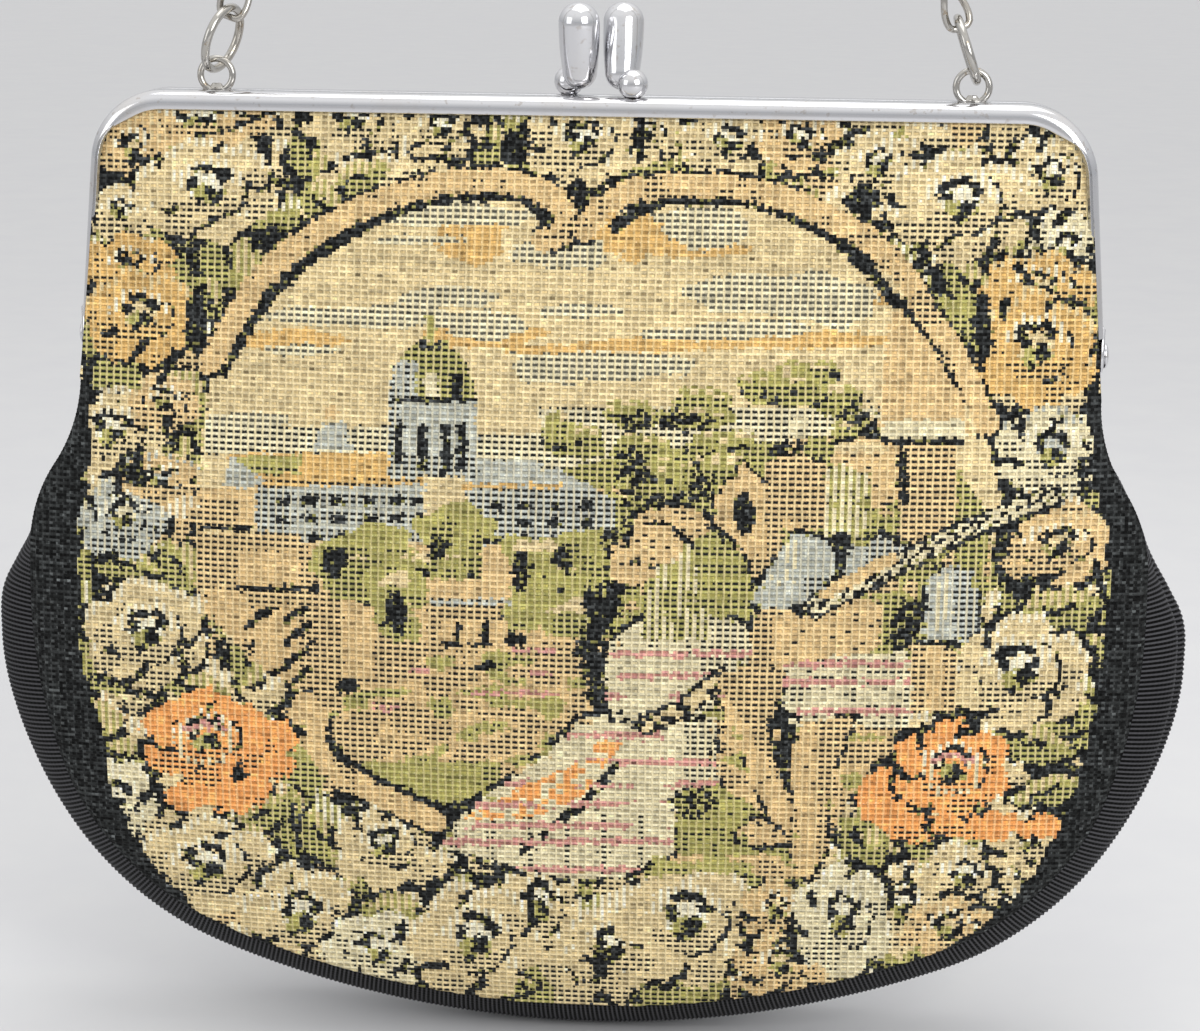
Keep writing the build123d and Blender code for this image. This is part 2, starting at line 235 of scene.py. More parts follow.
def piece(name, shape, material, closed=False):
    """Mesh object from points and quads; closed welds its poles and turns its faces outwards."""
    points, quads = shape
    mesh = bpy.data.meshes.new(name)
    mesh.vertices.add(len(points))
    mesh.vertices.foreach_set("co", placed(points).astype(np.float32).ravel())
    mesh.loops.add(quads.size)
    mesh.loops.foreach_set("vertex_index", quads.astype(np.int32).ravel())
    mesh.polygons.add(len(quads))
    mesh.polygons.foreach_set("loop_start", np.arange(0, quads.size, 4, dtype=np.int32))
    mesh.update(calc_edges=True)
    if closed:
        form = bmesh.new()
        form.from_mesh(mesh)
        bmesh.ops.remove_doubles(form, verts=form.verts, dist=1e-7)
        bmesh.ops.dissolve_degenerate(form, edges=form.edges, dist=1e-8)
        bmesh.ops.recalc_face_normals(form, faces=form.faces)
        form.to_mesh(mesh)
        form.free()
    mesh.polygons.foreach_set("use_smooth", np.ones(len(mesh.polygons), bool))
    mesh.materials.append(material)
    made = bpy.data.objects.new(name, mesh)
    bpy.context.scene.collection.objects.link(made)
    return made


def flat_map(made, across, along):
    """UV map from two values per vertex."""
    mesh = made.data
    corner = np.zeros(len(mesh.loops), np.int32)
    mesh.loops.foreach_get("vertex_index", corner)
    layer = mesh.uv_layers.new(name="cloth")
    layer.data.foreach_set("uv", np.stack([across, along], -1)[corner].astype(np.float32).ravel())


def revolved(profile, segments=48):
    """Radius and height pairs carried round Z."""
    profile = np.asarray(profile, float)
    turn = np.linspace(0, 2 * pi, segments, endpoint=False)
    points = np.empty((len(profile), segments, 3))
    points[..., 0] = profile[:, :1] * np.cos(turn)
    points[..., 1] = profile[:, :1] * np.sin(turn)
    points[..., 2] = profile[:, 1:]
    return points.reshape(-1, 3), grid_quads(len(profile), segments, round_columns=True)


def tube(path, radius, sides):
    """Round wire along a closed path: at each point a circle square to it, begun on its outer side."""
    heading = np.roll(path, -1, 0) - np.roll(path, 1, 0)
    heading /= np.linalg.norm(heading, axis=1, keepdims=True)
    outward = path - path.mean(0)
    outward -= (outward * heading).sum(1, keepdims=True) * heading
    outward /= np.linalg.norm(outward, axis=1, keepdims=True)
    binormal = np.cross(heading, outward)
    turn = np.linspace(0, 2 * pi, sides, endpoint=False)[None, :, None]
    circle = np.cos(turn) * outward[:, None] + np.sin(turn) * binormal[:, None]
    points = path[:, None] + radius * circle
    return points.reshape(-1, 3), grid_quads(len(path), sides, True, True)


# Shader values


class Shade:
    """A socket of one material; an expression on such values adds its Math nodes."""

    def __init__(self, finish, socket):
        self.finish = finish
        self.socket = socket

    def math(self, operation, *values):
        made = self.finish.node("ShaderNodeMath", {"operation": operation}, dict(enumerate((self, *values))))
        return Shade(self.finish, made.outputs[0])

    def __add__(self, other):
        return self.math("ADD", other)

    def __sub__(self, other):
        return self.math("SUBTRACT", other)

    def __rsub__(self, other):
        made = self.finish.node("ShaderNodeMath", {"operation": "SUBTRACT"}, {0: other, 1: self})
        return Shade(self.finish, made.outputs[0])

    def __mul__(self, other):
        return self.math("MULTIPLY", other)

    def __truediv__(self, other):
        return self.math("DIVIDE", other)

    __radd__ = __add__
    __rmul__ = __mul__

    def fraction(self):
        return self.math("FRACT")

    def size(self):
        return self.math("ABSOLUTE")

    def most(self, other):
        return self.math("MAXIMUM", other)

    def wave(self, cycles):
        return (self * (2 * pi * cycles)).math("SINE")

    def rise(self, low, high):
        settings = {"interpolation_type": "SMOOTHSTEP"}
        made = self.finish.node("ShaderNodeMapRange", settings, {0: self, 1: low, 2: high})
        return Shade(self.finish, made.outputs[0])


class Finish:
    """One procedural material."""

    def __init__(self, name, **constants):
        self.material = bpy.data.materials.new(name)
        self.material.use_nodes = True
        self.tree = self.material.node_tree
        self.shader = self.tree.nodes["Principled BSDF"]
        for socket, value in constants.items():
            self.shader.inputs[socket.replace("_", " ")].default_value = value

    def node(self, kind, settings, sockets):
        made = self.tree.nodes.new(kind)
        for key, value in settings.items():
            setattr(made, key, value)
        for key, value in sockets.items():
            self.feed(made.inputs[key], value)
        return made

    def feed(self, socket, value):
        if isinstance(value, Shade):
            self.tree.links.new(value.socket, socket)
        else:
            socket.default_value = value

    def set(self, **sockets):
        for socket, value in sockets.items():
            self.feed(self.shader.inputs[socket.replace("_", " ")], value)

    def place(self, kind="Object"):
        return Shade(self, self.node("ShaderNodeTexCoord", {}, {}).outputs[kind])

    def parts(self, vector):
        made = self.node("ShaderNodeSeparateXYZ", {}, {0: vector})
        return [Shade(self, socket) for socket in made.outputs]

    def attribute(self, name):
        made = self.node("ShaderNodeAttribute", {"attribute_name": name}, {})
        return Shade(self, made.outputs["Color"]), Shade(self, made.outputs["Alpha"])

    def noise(self, place, scale, detail=2.0, rough=0.5):
        sockets = {"Vector": place, "Scale": scale, "Detail": detail, "Roughness": rough}
        return Shade(self, self.node("ShaderNodeTexNoise", {}, sockets).outputs[0])

    def mix(self, share, first, second):
        sockets = {0: share, 6: first, 7: second}
        made = self.node("ShaderNodeMix", {"data_type": "RGBA"}, sockets)
        return Shade(self, made.outputs[2])

    def darken(self, colour, amount):
        settings = {"data_type": "RGBA", "blend_type": "MULTIPLY"}
        grey = self.node("ShaderNodeCombineColor", {}, {0: amount, 1: amount, 2: amount})
        made = self.node("ShaderNodeMix", settings, {0: 1.0, 6: colour, 7: Shade(self, grey.outputs[0])})
        return Shade(self, made.outputs[2])

    def relief(self, height, distance, strength=1.0):
        made = self.node("ShaderNodeBump", {}, {"Height": height, "Distance": distance, "Strength": strength})
        self.set(Normal=Shade(self, made.outputs[0]))


def linear(colour):
    """Display colour values as the light values that shaders and colour attributes hold."""
    colour = np.asarray(colour, float)
    return np.where(colour <= 0.04045, colour / 12.92, ((colour + 0.055) / 1.055) ** 2.4)


def rgba(colour):
    return (*linear(colour), 1.0)


def tapestry_finish():
    """Woven picture: in each stitch a weft bar lies over a spot, with thin warp threads beside it."""
    made = Finish("woven_tapestry", Specular_IOR_Level=0.08, Sheen_Weight=0.03)
    across, along, unused = made.parts(made.place("UV"))
    weft, warp_share = made.attribute("weft")
    spot, light = made.attribute("spot")
    place = made.place()
    fuzz = made.noise(place, 3000.0, 3.0, 0.7)
    slub = made.noise(place, 400.0, 2.0, 0.6)
    across = across + (slub - 0.5) * 0.28 + (fuzz - 0.5) * 0.2
    along = along + (fuzz - 0.5) * 0.34 + (slub - 0.5) * 0.16
    side = (across.fraction() - 0.5).size()
    row = along.fraction()
    dash = (1.0 - side.rise(0.27, 0.42)) * (1.0 - (row - 0.28).size().rise(0.15, 0.29))
    warp = side.rise(0.26, 0.42) * warp_share
    bar = 1.0 - (row - 0.76).size().rise(0.05, 0.34)
    rib = 0.5 + 0.5 * across.wave(2.0)
    thread_colour = made.mix(warp * 0.54, weft, rgba((0.88, 0.81, 0.62)))
    colour = made.mix(dash, thread_colour, spot)
    # Painted highlight: near-white glints on the tops of light threads.
    glint = fuzz.rise(0.56, 0.74) * bar.most(warp) * light.rise(0.2, 0.5) * 0.4
    colour = made.mix(glint, colour, rgba((0.97, 0.95, 0.88)))
    # Painted shade over random thread tone: fuzz and slub vary the threads at random, while rib, bar and side
    # paint the threads lighter where they are raised.
    tone_and_thread_shade = 0.36 + fuzz * 0.82 + slub * 0.26 + rib * 0.08 + bar * 0.06 + side.rise(0.2, 0.46) * 0.07
    made.set(Base_Color=made.darken(colour, tone_and_thread_shade))
    made.set(Roughness=0.78 + fuzz * 0.2)
    height = (bar * 0.7).most(warp * 0.9) - dash * 0.5 + rib * 0.18 + fuzz * 0.4 + light * 0.3
    made.relief(height, 0.00034, 0.9)
    return made.material


def twill_finish(name, colour, pitch):
    """Black twill: slanting ribs broken into short floats, with painted shade in the grooves between them."""
    made = Finish(name, Roughness=0.85, Specular_IOR_Level=0.2, Sheen_Weight=0.15)
    across, unused, up = made.parts(made.place())
    fuzz = made.noise(made.place(), 2400.0, 3.0, 0.7)
    slant = ((across + up) / pitch + fuzz * 0.3).fraction()
    float_end = ((across - up) / (pitch * 2.2)).fraction()
    rib = slant.rise(0.0, 0.35) * (1.0 - slant.rise(0.6, 1.0))
    rib = rib * (0.65 + 0.35 * float_end.rise(0.1, 0.4))
    # Painted shade: the grooves between ribs get under half the cloth's colour.
    rib_shaded_colour = made.mix(rib, rgba(np.array(colour) * 0.45), rgba(colour))
    made.set(Base_Color=made.darken(rib_shaded_colour, 0.7 + fuzz * 0.6))
    made.relief(rib + fuzz * 0.4, 0.0003, 0.8)
    return made.material


def grosgrain_finish():
    """Ribbon: close cross ribs of twisted silk, with painted light on their crests and painted shade in the
    black between them.
    """
    made = Finish("grosgrain_ribbon", Specular_IOR_Level=0.06, Sheen_Weight=0.02)
    across, along, unused = made.parts(made.place("UV"))
    fuzz = made.noise(made.place(), 2200.0, 3.0, 0.65)
    worn = made.noise(made.place(), 60.0, 3.0, 0.6)
    # Painted light and shade: each rib's crest is painted grey and the hollow between ribs black.
    rib = 0.5 + 0.5 * along.wave(1.0)
    colour = made.mix(rib.rise(0.3, 0.95), rgba((0.0, 0.0, 0.0)), rgba((0.27, 0.27, 0.28)))
    made.set(Base_Color=made.darken(colour, 0.55 + fuzz * 0.5 + worn * 0.4))
    made.set(Roughness=0.5 + fuzz * 0.3)
    made.relief(across.wave(16.0) * 0.25 + fuzz * 0.5, 0.00012, 0.7)
    return made.material


def satin_finish():
    """Lining: plain black satin with faint creases, along which painted light and shade vary its colour."""
    made = Finish("lining_satin", Roughness=0.4, Specular_IOR_Level=0.4, Sheen_Weight=0.3)
    place = made.place()
    crease = made.noise(place, 45.0, 4.0, 0.6)
    thread = made.noise(place, 3000.0, 1.0, 0.5)
    # Painted light and shade: the crease noise paints the satin lighter and darker.
    made.set(Base_Color=made.mix(crease, rgba((0.09, 0.09, 0.10)), rgba((0.17, 0.17, 0.18))))
    made.set(Roughness=0.34 + thread * 0.16)
    made.relief(crease * 0.8 + thread * 0.12, 0.0012, 0.5)
    return made.material


def plated_finish(name, wear, plate):
    """Bright plate: fine polishing marks, dull handling patches and a warmer tone where it is thin."""
    made = Finish(name, Metallic=1.0)
    place = made.place()
    patch = made.noise(place, 90.0, 4.0, 0.6).rise(0.45, 0.75)
    fleck = made.noise(place, 900.0, 2.0, 0.5).rise(0.62, 0.72)
    scratch = made.noise(place, 5000.0, 2.0, 0.6)
    worn = patch * wear
    colour = made.mix(worn, rgba(plate), rgba(np.array(plate) * (0.93, 0.88, 0.80)))
    made.set(Base_Color=made.mix(fleck * wear, colour, rgba((0.55, 0.47, 0.36))))
    made.set(Roughness=0.09 + worn * 0.16 + scratch * 0.05 + fleck * wear * 0.2)
    made.relief(scratch * 0.4 + patch * 0.3, 0.00002, 0.4)
    return made.material


def paper_finish():
    """Twisted paper cord: slanting strands, each painted from dark to light across it as painted shade, over
    a random fibre tone.
    """
    made = Finish("paper_cord", Roughness=0.9)
    across, deep, up = made.parts(made.place())
    strand = ((across + deep + up) * 900.0).fraction()
    fibre = made.noise(made.place(), 1500.0, 3.0, 0.7)
    # Painted shade: each strand goes from dark to light across it; fibre adds random tone.
    strand_shade_and_fibre = strand * 0.6 + fibre * 0.4
    made.set(Base_Color=made.mix(strand_shade_and_fibre, rgba((0.55, 0.44, 0.30)), rgba((0.76, 0.67, 0.50))))
    made.relief(strand + fibre * 0.5, 0.0002, 0.8)
    return made.material


# Cloth shapes

crown_heights = (-0.8, 19.4, 43.0, 69.1, 92.8, 110.6, 128.4, 148.2, 160.0, 165.7, 169.0)
crown_middles = (10.9, 15.5, 19.2, 20.5, 19.6, 17.5, 14.0, 8.8, 5.4, 4.25, 4.15)
edge_heights = (-0.8, 19.4, 43.0, 69.1, 92.8, 104.0, 112.0, 121.0, 131.0, 148.2, 165.7, 169.0)
edge_depths = (8.2, 8.3, 11.4, 12.4, 10.9, 9.3, 7.6, 5.7, 4.7, 4.15, 4.1, 4.1)
bulge_heights = (0, 40, 72, 80, 85.5, 92, 97, 104, 119)
bulges = (7.3, 7.4, 8.9, 7.7, 4.8, 1.2, 0.2, -0.4, -2.2)


def crown_depth(x, z):
    """Depth of a panel's outer face: a curve up the middle, drawn in towards the edges as the square of x."""
    middle = smooth_through(crown_heights, crown_middles, z)
    edge = smooth_through(edge_heights, edge_depths, z)
    return middle - (middle - edge) * np.minimum(np.abs(x) / half_panel, 1) ** 2


def arm_half_width(z):
    return half_width - arm_splay * (z - hinge_z) / (frame_top - hinge_z)


def seam_line(count=4000):
    """Right half of the seam from the bottom to the waist: x, z and heading, summed up from its arcs."""
    end_angle = bottom_arc_angle + corner_arc_angle
    reach = corner_arc_radius * (sin(end_angle) - sin(bottom_arc_angle))
    reach += side_arc_radius * (1 - sin(end_angle))
    bottom_radius = (half_panel - reach) / sin(bottom_arc_angle)
    widest_z = seam_rise + bottom_radius * (1 - cos(bottom_arc_angle)) + side_arc_radius * cos(end_angle)
    widest_z += corner_arc_radius * (cos(bottom_arc_angle) - cos(end_angle))
    straight = straight_side_share * (waist_z - widest_z)
    rise = waist_z - widest_z - straight
    draw_in = half_panel - (arm_half_width(waist_z) - cloth_inset)
    bend_radius = (rise**2 + draw_in**2) / (4 * draw_in)
    bend_angle = 2 * atan(draw_in / rise)
    angles = [bottom_arc_angle, corner_arc_angle, pi / 2 - end_angle, 0.0, bend_angle, -bend_angle]
    lengths = [
        bottom_radius * bottom_arc_angle,
        corner_arc_radius * corner_arc_angle,
        side_arc_radius * (pi / 2 - end_angle),
        straight,
        bend_radius * bend_angle,
        bend_radius * bend_angle,
    ]
    knots = np.concatenate([[0.0], np.cumsum(lengths)])
    along = np.linspace(0, knots[-1], count)
    heading = np.interp(along, knots, np.concatenate([[0.0], np.cumsum(angles)]))
    step = along[1] - along[0]
    halfway = (heading[1:] + heading[:-1]) / 2
    x = np.concatenate([[0.0], np.cumsum(np.cos(halfway) * step)])
    z = seam_rise + np.concatenate([[0.0], np.cumsum(np.sin(halfway) * step)])
    return along, x, z, heading


seam_along, seam_x, seam_z, seam_heading = seam_line()


def outline_half_width(z, inset=0.0):
    """Half the cloth's width at a height: the seam below the waist, the frame's channel above it."""
    below = np.interp(z - inset, seam_z, seam_x) - inset * 0.6
    above = arm_half_width(z) - cloth_inset - inset
    corner = np.clip(z - (cloth_top - corner_radius), 0, corner_radius)
    above = above - (corner_radius - np.sqrt(np.maximum(corner_radius**2 - corner**2, 0)))
    return np.where(z < waist_z, below, above)


def cloth_grid(columns, rows, inset=0.0):
    """Places across and up of a woven grid, cut at the outline by drawing the outer threads onto it."""
    x = (np.arange(columns) - (columns - 1) / 2) * 2 * half_panel / (columns - 1)
    z = np.linspace(seam_rise + inset, cloth_top - inset, rows)
    across, up = np.meshgrid(x, z)
    limit = outline_half_width(up, inset)
    return np.clip(across, -limit, limit), up, limit


def rolled_in(depth, up, edge):
    """Depth of a sheet, drawn back where its edge meets the seam or enters the frame's channel."""
    roll = np.where(up < waist_z, seam_roll, channel_roll)
    return depth - roll * (1 - smooth_step(0, roll_width, edge)) ** 2


def shown_quads(across, quads):
    """Quads whose corners aren't all drawn onto one place of the outline."""
    corners = across.ravel()[quads]
    return quads[np.ptp(corners, axis=1) > 1e-6]


# The woven picture, placed by the photograph's pixels as its camera sees the front

forward = (camera_target - camera_eye) / np.linalg.norm(camera_target - camera_eye)
level = np.cross(forward, (0, 0, 1))
level /= np.linalg.norm(level)
camera_right = level * cos(camera_roll) + np.cross(level, forward) * sin(camera_roll)
camera_up = np.cross(camera_right, forward)
focal_pixels = photo_width / 2 / tan(camera_view / 2)


def seen(points):
    """Photograph pixels, right and down, of drawing points."""
    ray = points - camera_eye
    depth = ray @ forward
    right = photo_width / 2 + focal_pixels * (ray @ camera_right) / depth
    down = photo_height / 2 - focal_pixels * (ray @ camera_up) / depth
    return right, down


def cloud(px, py, size, seed):
    """Smooth random values between 0 and 1, with patches of about a given size."""
    lattice = np.random.default_rng(seed).random((64, 64))
    u, v = px / size, py / size
    i, j = np.floor(u).astype(int), np.floor(v).astype(int)
    s, t = smooth_step(0, 1, u - i), smooth_step(0, 1, v - j)
    i, j, k, l = i % 64, j % 64, (i + 1) % 64, (j + 1) % 64
    top = lattice[i, j] * (1 - s) + lattice[k, j] * s
    foot = lattice[i, l] * (1 - s) + lattice[k, l] * s
    return top * (1 - t) + foot * t


thread = {
    "black": (0.135, 0.14, 0.14),
    "cream": (0.87, 0.79, 0.61),
    "pale": (0.88, 0.84, 0.70),
    "white": (0.94, 0.91, 0.80),
    "gold": (0.87, 0.71, 0.45),
    "tan": (0.86, 0.74, 0.54),
    "olive": (0.67, 0.65, 0.385),
    "orange": (0.97, 0.66, 0.39),
    "blue": (0.72, 0.735, 0.70),
    "pink": (0.80, 0.57, 0.54),
}


class Picture:
    """Weft and spot colours of every quarter stitch, painted in layers of simple shapes."""

    def __init__(self, px, py, upright, toss):
        self.px = px
        self.py = py
        self.upright = upright
        self.weft = np.zeros((len(px), 3))
        self.spot = np.zeros((len(px), 3))
        self.warp = np.zeros(len(px))
        self.toss = toss

    def fill(self, where, name, shaded=False):
        """Colours a field; where it is shaded, black dashes show between its wefts."""
        colour, dark = np.array(thread[name]), np.array(thread["black"])
        self.weft[where] = colour
        if name == "black":
            # Painted light and shade on black thread: weft bars are painted lighter and the spots under them
            # darker.
            self.weft[where] = dark * 1.3
            self.spot[where] = dark * 0.7
            self.warp[where] = 0.0
            return
        self.spot[where] = colour * (0.93, 0.905, 0.85)
        self.warp[where] = 0.6
        if name == "white":
            self.spot[where] = colour
            self.warp[where] = 1.0
        dashed = where & (shaded > 0)
        share = (np.zeros((len(where), 1)) + np.reshape(shaded, (-1, 1)))[dashed]
        self.spot[dashed] = share * dark + (1 - share) * colour
        self.warp[dashed] = 0.9

    def fleck(self, where, name, share):
        """Colours a random share of the stitches of a field."""
        self.fill(where & (self.toss < share), name)

    def blots(self, places, ragged, size, seed, within=True):
        """Black ovals with ragged rims."""
        rim = 1 + ragged * (cloud(self.px, self.py, size, seed) - 0.5)
        for place in places:
            self.fill((self.oval(*place) < rim) & within, "black")

    def shape(self, corners, name, shaded=False, rim=5.0):
        """Many-sided field with a broken black outline."""
        drawn = self.from_line(corners + corners[:1]) < rim
        self.fill(drawn & (cloud(self.px, self.py, 17, 54) + 0.4 * self.toss > 0.66), "black")
        self.fill(self.inside(corners) & ~(drawn & (self.toss < 0.12)), name, shaded)

    def oval(self, cx, cy, rx, ry, tilt=0.0):
        """Distance from the middle of an oval, 1 on its rim."""
        dx, dy = self.px - cx, self.py - cy
        c, s = cos(radians(tilt)), sin(radians(tilt))
        return np.hypot((dx * c + dy * s) / rx, (dy * c - dx * s) / ry)

    def box(self, left, right, top, foot):
        return (self.px > left) & (self.px < right) & (self.py > top) & (self.py < foot)

    def inside(self, corners):
        """Inside of a many-sided outline, by counting the sides to the right."""
        odd = np.zeros(len(self.px), bool)
        for (ax, ay), (bx, by) in zip(corners, corners[1:] + corners[:1]):
            if ay != by:
                crosses = (self.py < ay) != (self.py < by)
                odd ^= crosses & (self.px < ax + (self.py - ay) * (bx - ax) / (by - ay))
        return odd

    def from_line(self, corners):
        """Distance from a line through corners."""
        best = np.full(len(self.px), 1e9)
        for (ax, ay), (bx, by) in zip(corners, corners[1:]):
            long = hypot(bx - ax, by - ay)
            t = np.clip(((self.px - ax) * (bx - ax) + (self.py - ay) * (by - ay)) / long**2, 0, 1)
            best = np.minimum(best, np.hypot(self.px - ax - t * (bx - ax), self.py - ay - t * (by - ay)))
        return best

    def petal(self, cx, cy, rx, ry, name, light):
        """Rounded petal: a broken dark rim, a ragged top of upright floats, dashes towards its foot."""
        ring = self.oval(cx, cy, rx, ry)
        fall = (self.py - cy) / ry
        broken = cloud(self.px, self.py, 22, 51) > 0.56
        self.fill((ring < 1 + 8 / rx) & broken, "black")
        dashed = (fall > 0.1) & (ring < 0.94) & (cloud(self.px, self.py, 26, 52) > 0.56)
        self.fill(ring < 1, name, dashed)
        self.fill((ring < 1) & (fall < -0.1) & (ring > 0.72) & self.upright, light)

    def leaf(self, cx, cy, long, wide, tilt):
        """Pointed leaf with a dashed half and a dark vein."""
        c, s = cos(radians(tilt)), sin(radians(tilt))
        dx, dy = self.px - cx, self.py - cy
        u, v = (dx * c + dy * s) / long * 2, (dy * c - dx * s) / wide * 2
        rim = np.abs(v) - (1 - u * u)
        body = (rim < 0) & (np.abs(u) < 1)
        broken = cloud(self.px, self.py, 15, 53) > 0.45
        self.fill((rim < 0.4) & (np.abs(u) < 1.15) & broken, "black")
        self.fill(body, "olive", v > 0.1)
        self.fill(body & (v < -0.2) & self.upright, "cream")
        self.fill(body & (np.abs(v) < 0.13) & (u > -0.5) & (u < 0.3), "black")

    def rose(self, cx, cy, rx, ry, name, light, turn=0.0):
        """Full-blown rose: a ring of petals, a bowl of inner petals and a small dark heart."""
        for k in range(6):
            a = turn + k * pi / 3
            across, down = cx + 0.58 * rx * cos(a), cy + 0.56 * ry * sin(a)
            self.petal(across, down, 0.47 * rx, 0.46 * ry, name, light)
        bowl = self.oval(cx, cy - 0.04 * ry, 0.56 * rx, 0.54 * ry)
        angle = np.arctan2(self.py - cy, self.px - cx) + turn
        self.fill((bowl < 1.1) & (np.sin(angle + 0.7) > 0.55), "black")
        self.fill(bowl < 1, name, (self.py > cy + 0.16 * ry) & (bowl > 0.5))
        self.fill((bowl < 1) & (bowl > 0.6) & (self.py < cy - 0.1 * ry) & self.upright, "white")
        self.fill((np.abs(bowl - 0.66) < 0.13) & (np.sin(angle + 2.6) > 0.62), "black")
        self.fill(bowl < 0.5, light)
        self.fill(self.oval(cx + 0.02 * rx, cy + 0.08 * ry, 0.24 * rx, 0.17 * ry) < 1, "olive")
        hearts = ((0.1, 0.06, 0.13), (-0.2, -0.14, 0.1), (0.24, -0.2, 0.08), (-0.08, 0.24, 0.07))
        for dx, dy, size in hearts:
            self.fill(self.oval(cx + dx * rx, cy + dy * ry, size * rx, size * ry * 1.2) < 1, "black")


# Outlines and places in the picture, in the photograph's pixels
scroll_left = [
    (211, 362), (229, 329), (252, 289), (284, 255), (314, 234), (351, 213), (401, 193), (448, 182),
    (495, 180), (532, 187), (556, 200), (568, 216), (562, 234), (545, 240),
]
line_left = [
    (221, 371), (240, 338), (268, 297), (300, 267), (336, 242), (368, 224), (412, 204), (450, 197),
    (520, 195), (539, 208), (547, 226),
]
scroll_right = [
    (584, 230), (597, 210), (631, 191), (669, 185), (731, 186), (768, 194), (800, 203), (838, 222),
    (876, 244), (905, 275), (926, 312), (952, 348), (972, 388), (986, 424),
]
line_right = [
    (614, 226), (634, 213), (664, 200), (735, 198), (768, 207), (800, 219), (836, 240), (872, 272),
    (892, 298), (918, 318), (934, 342), (954, 368), (968, 398),
]
scroll_foot = [(296, 716), (306, 704), (318, 716), (312, 742), (330, 768), (368, 790), (402, 806), (436, 822)]
line_foot = [(326, 722), (322, 738), (344, 762), (370, 780), (410, 798), (446, 812), (470, 806)]
scene_outline = [
    (211, 372), (252, 289), (314, 234), (401, 193), (495, 180), (568, 216), (597, 210), (669, 185),
    (768, 194), (838, 222), (905, 275), (952, 348), (986, 424), (1000, 500), (985, 600), (956, 660),
    (910, 712), (880, 750), (850, 800), (806, 880), (700, 872), (620, 880), (495, 866), (441, 846),
    (436, 822), (368, 790), (312, 742), (300, 690), (250, 660), (205, 610), (196, 500),
]
# Roses: middle, half width and height, colour of the petals and of their tips, turn
roses = [
    (197, 118, 76, 30, "tan", "white", 0.2), (132, 152, 34, 44, "tan", "cream", 1.1),
    (120, 212, 34, 30, "cream", "white", 0.5), (207, 190, 70, 52, "cream", "white", 0.3),
    (352, 122, 50, 34, "cream", "white", 0.9), (440, 128, 42, 34, "cream", "white", 0.1),
    (646, 132, 34, 34, "cream", "white", 0.7), (582, 142, 56, 46, "cream", "white", 0.5),
    (728, 142, 48, 38, "cream", "white", 0.2), (800, 140, 44, 36, "tan", "white", 0.8),
    (878, 166, 46, 36, "cream", "white", 0.4), (1052, 180, 46, 46, "cream", "white", 0.9),
    (1066, 250, 38, 40, "pale", "white", 0.1), (960, 205, 72, 58, "cream", "white", 0.6),
    (130, 264, 48, 30, "gold", "gold", 0.5), (140, 316, 56, 50, "gold", "cream", 0.3),
    (1040, 288, 60, 36, "gold", "cream", 0.8), (1036, 350, 62, 60, "gold", "cream", 0.5),
    (112, 432, 58, 46, "cream", "white", 0.8), (164, 402, 36, 30, "tan", "cream", 0.2),
    (122, 518, 44, 42, "blue", "pale", 0.2), (160, 478, 40, 26, "tan", "blue", 0.6),
    (1052, 452, 58, 48, "pale", "blue", 0.5), (1056, 546, 62, 40, "tan", "cream", 0.3),
    (146, 634, 62, 56, "cream", "white", 0.4), (1018, 672, 72, 58, "cream", "white", 0.7),
    (114, 800, 44, 44, "pale", "white", 0.1), (160, 900, 44, 40, "cream", "white", 0.3),
    (206, 868, 72, 52, "cream", "white", 0.6), (300, 918, 60, 56, "cream", "white", 0.2),
    (384, 846, 50, 44, "cream", "white", 0.5), (378, 950, 56, 40, "pale", "white", 0.9),
    (540, 906, 40, 56, "cream", "white", 0.4), (474, 940, 66, 60, "cream", "white", 0.1),
    (612, 948, 46, 46, "cream", "white", 0.7), (686, 922, 72, 66, "cream", "white", 0.2),
    (776, 912, 36, 32, "tan", "cream", 0.5), (780, 968, 46, 34, "tan", "cream", 0.3),
    (902, 908, 44, 46, "cream", "white", 0.6), (842, 920, 50, 58, "pale", "white", 0.4),
    (964, 878, 50, 36, "cream", "white", 0.1), (950, 930, 50, 34, "tan", "cream", 0.8),
    (1030, 842, 44, 34, "cream", "white", 0.4),
]
# Leaves: middle, length, width and tilt in degrees
leaves = [
    (309, 152, 60, 44, 80), (361, 178, 66, 34, -25), (321, 202, 50, 40, 40), (229, 258, 70, 60, 75),
    (208, 298, 52, 34, 60), (230, 318, 46, 26, 100), (485, 142, 60, 46, 30), (684, 126, 40, 44, 60),
    (696, 160, 60, 34, -20), (826, 158, 44, 46, 70), (800, 196, 46, 30, 20), (1000, 262, 70, 44, 70),
    (962, 274, 60, 40, 60), (1030, 225, 50, 34, 110), (1088, 300, 40, 40, 60), (186, 388, 70, 36, 20),
    (208, 418, 60, 30, 80), (176, 448, 44, 30, 100), (126, 566, 70, 40, 10), (180, 566, 56, 44, 60),
    (112, 672, 60, 44, 30), (228, 614, 60, 46, 50), (250, 660, 60, 40, 110), (196, 690, 70, 34, 10),
    (98, 724, 60, 50, 70), (126, 756, 70, 36, 20), (293, 822, 70, 40, 90), (320, 838, 60, 36, 60),
    (262, 812, 60, 34, -30), (250, 838, 50, 26, 10), (396, 914, 76, 44, 10), (350, 890, 50, 30, -40),
    (976, 498, 80, 44, -35), (1000, 470, 50, 34, 60), (1064, 610, 84, 44, -15), (1020, 602, 50, 44, 50),
    (1090, 650, 50, 34, -40), (1036, 744, 80, 40, 10), (1070, 716, 60, 34, -20),
    (1048, 792, 84, 34, -20), (860, 838, 60, 44, 50), (934, 846, 80, 36, 5), (872, 812, 50, 26, -30),
    (1000, 866, 56, 32, -20), (752, 868, 60, 32, -50), (742, 938, 50, 36, 30), (580, 880, 40, 34, 70),
    (508, 984, 60, 24, 10), (700, 985, 70, 20, 5), (150, 862, 50, 40, 30), (128, 846, 40, 30, 60),
    (890, 862, 50, 30, 70),
]


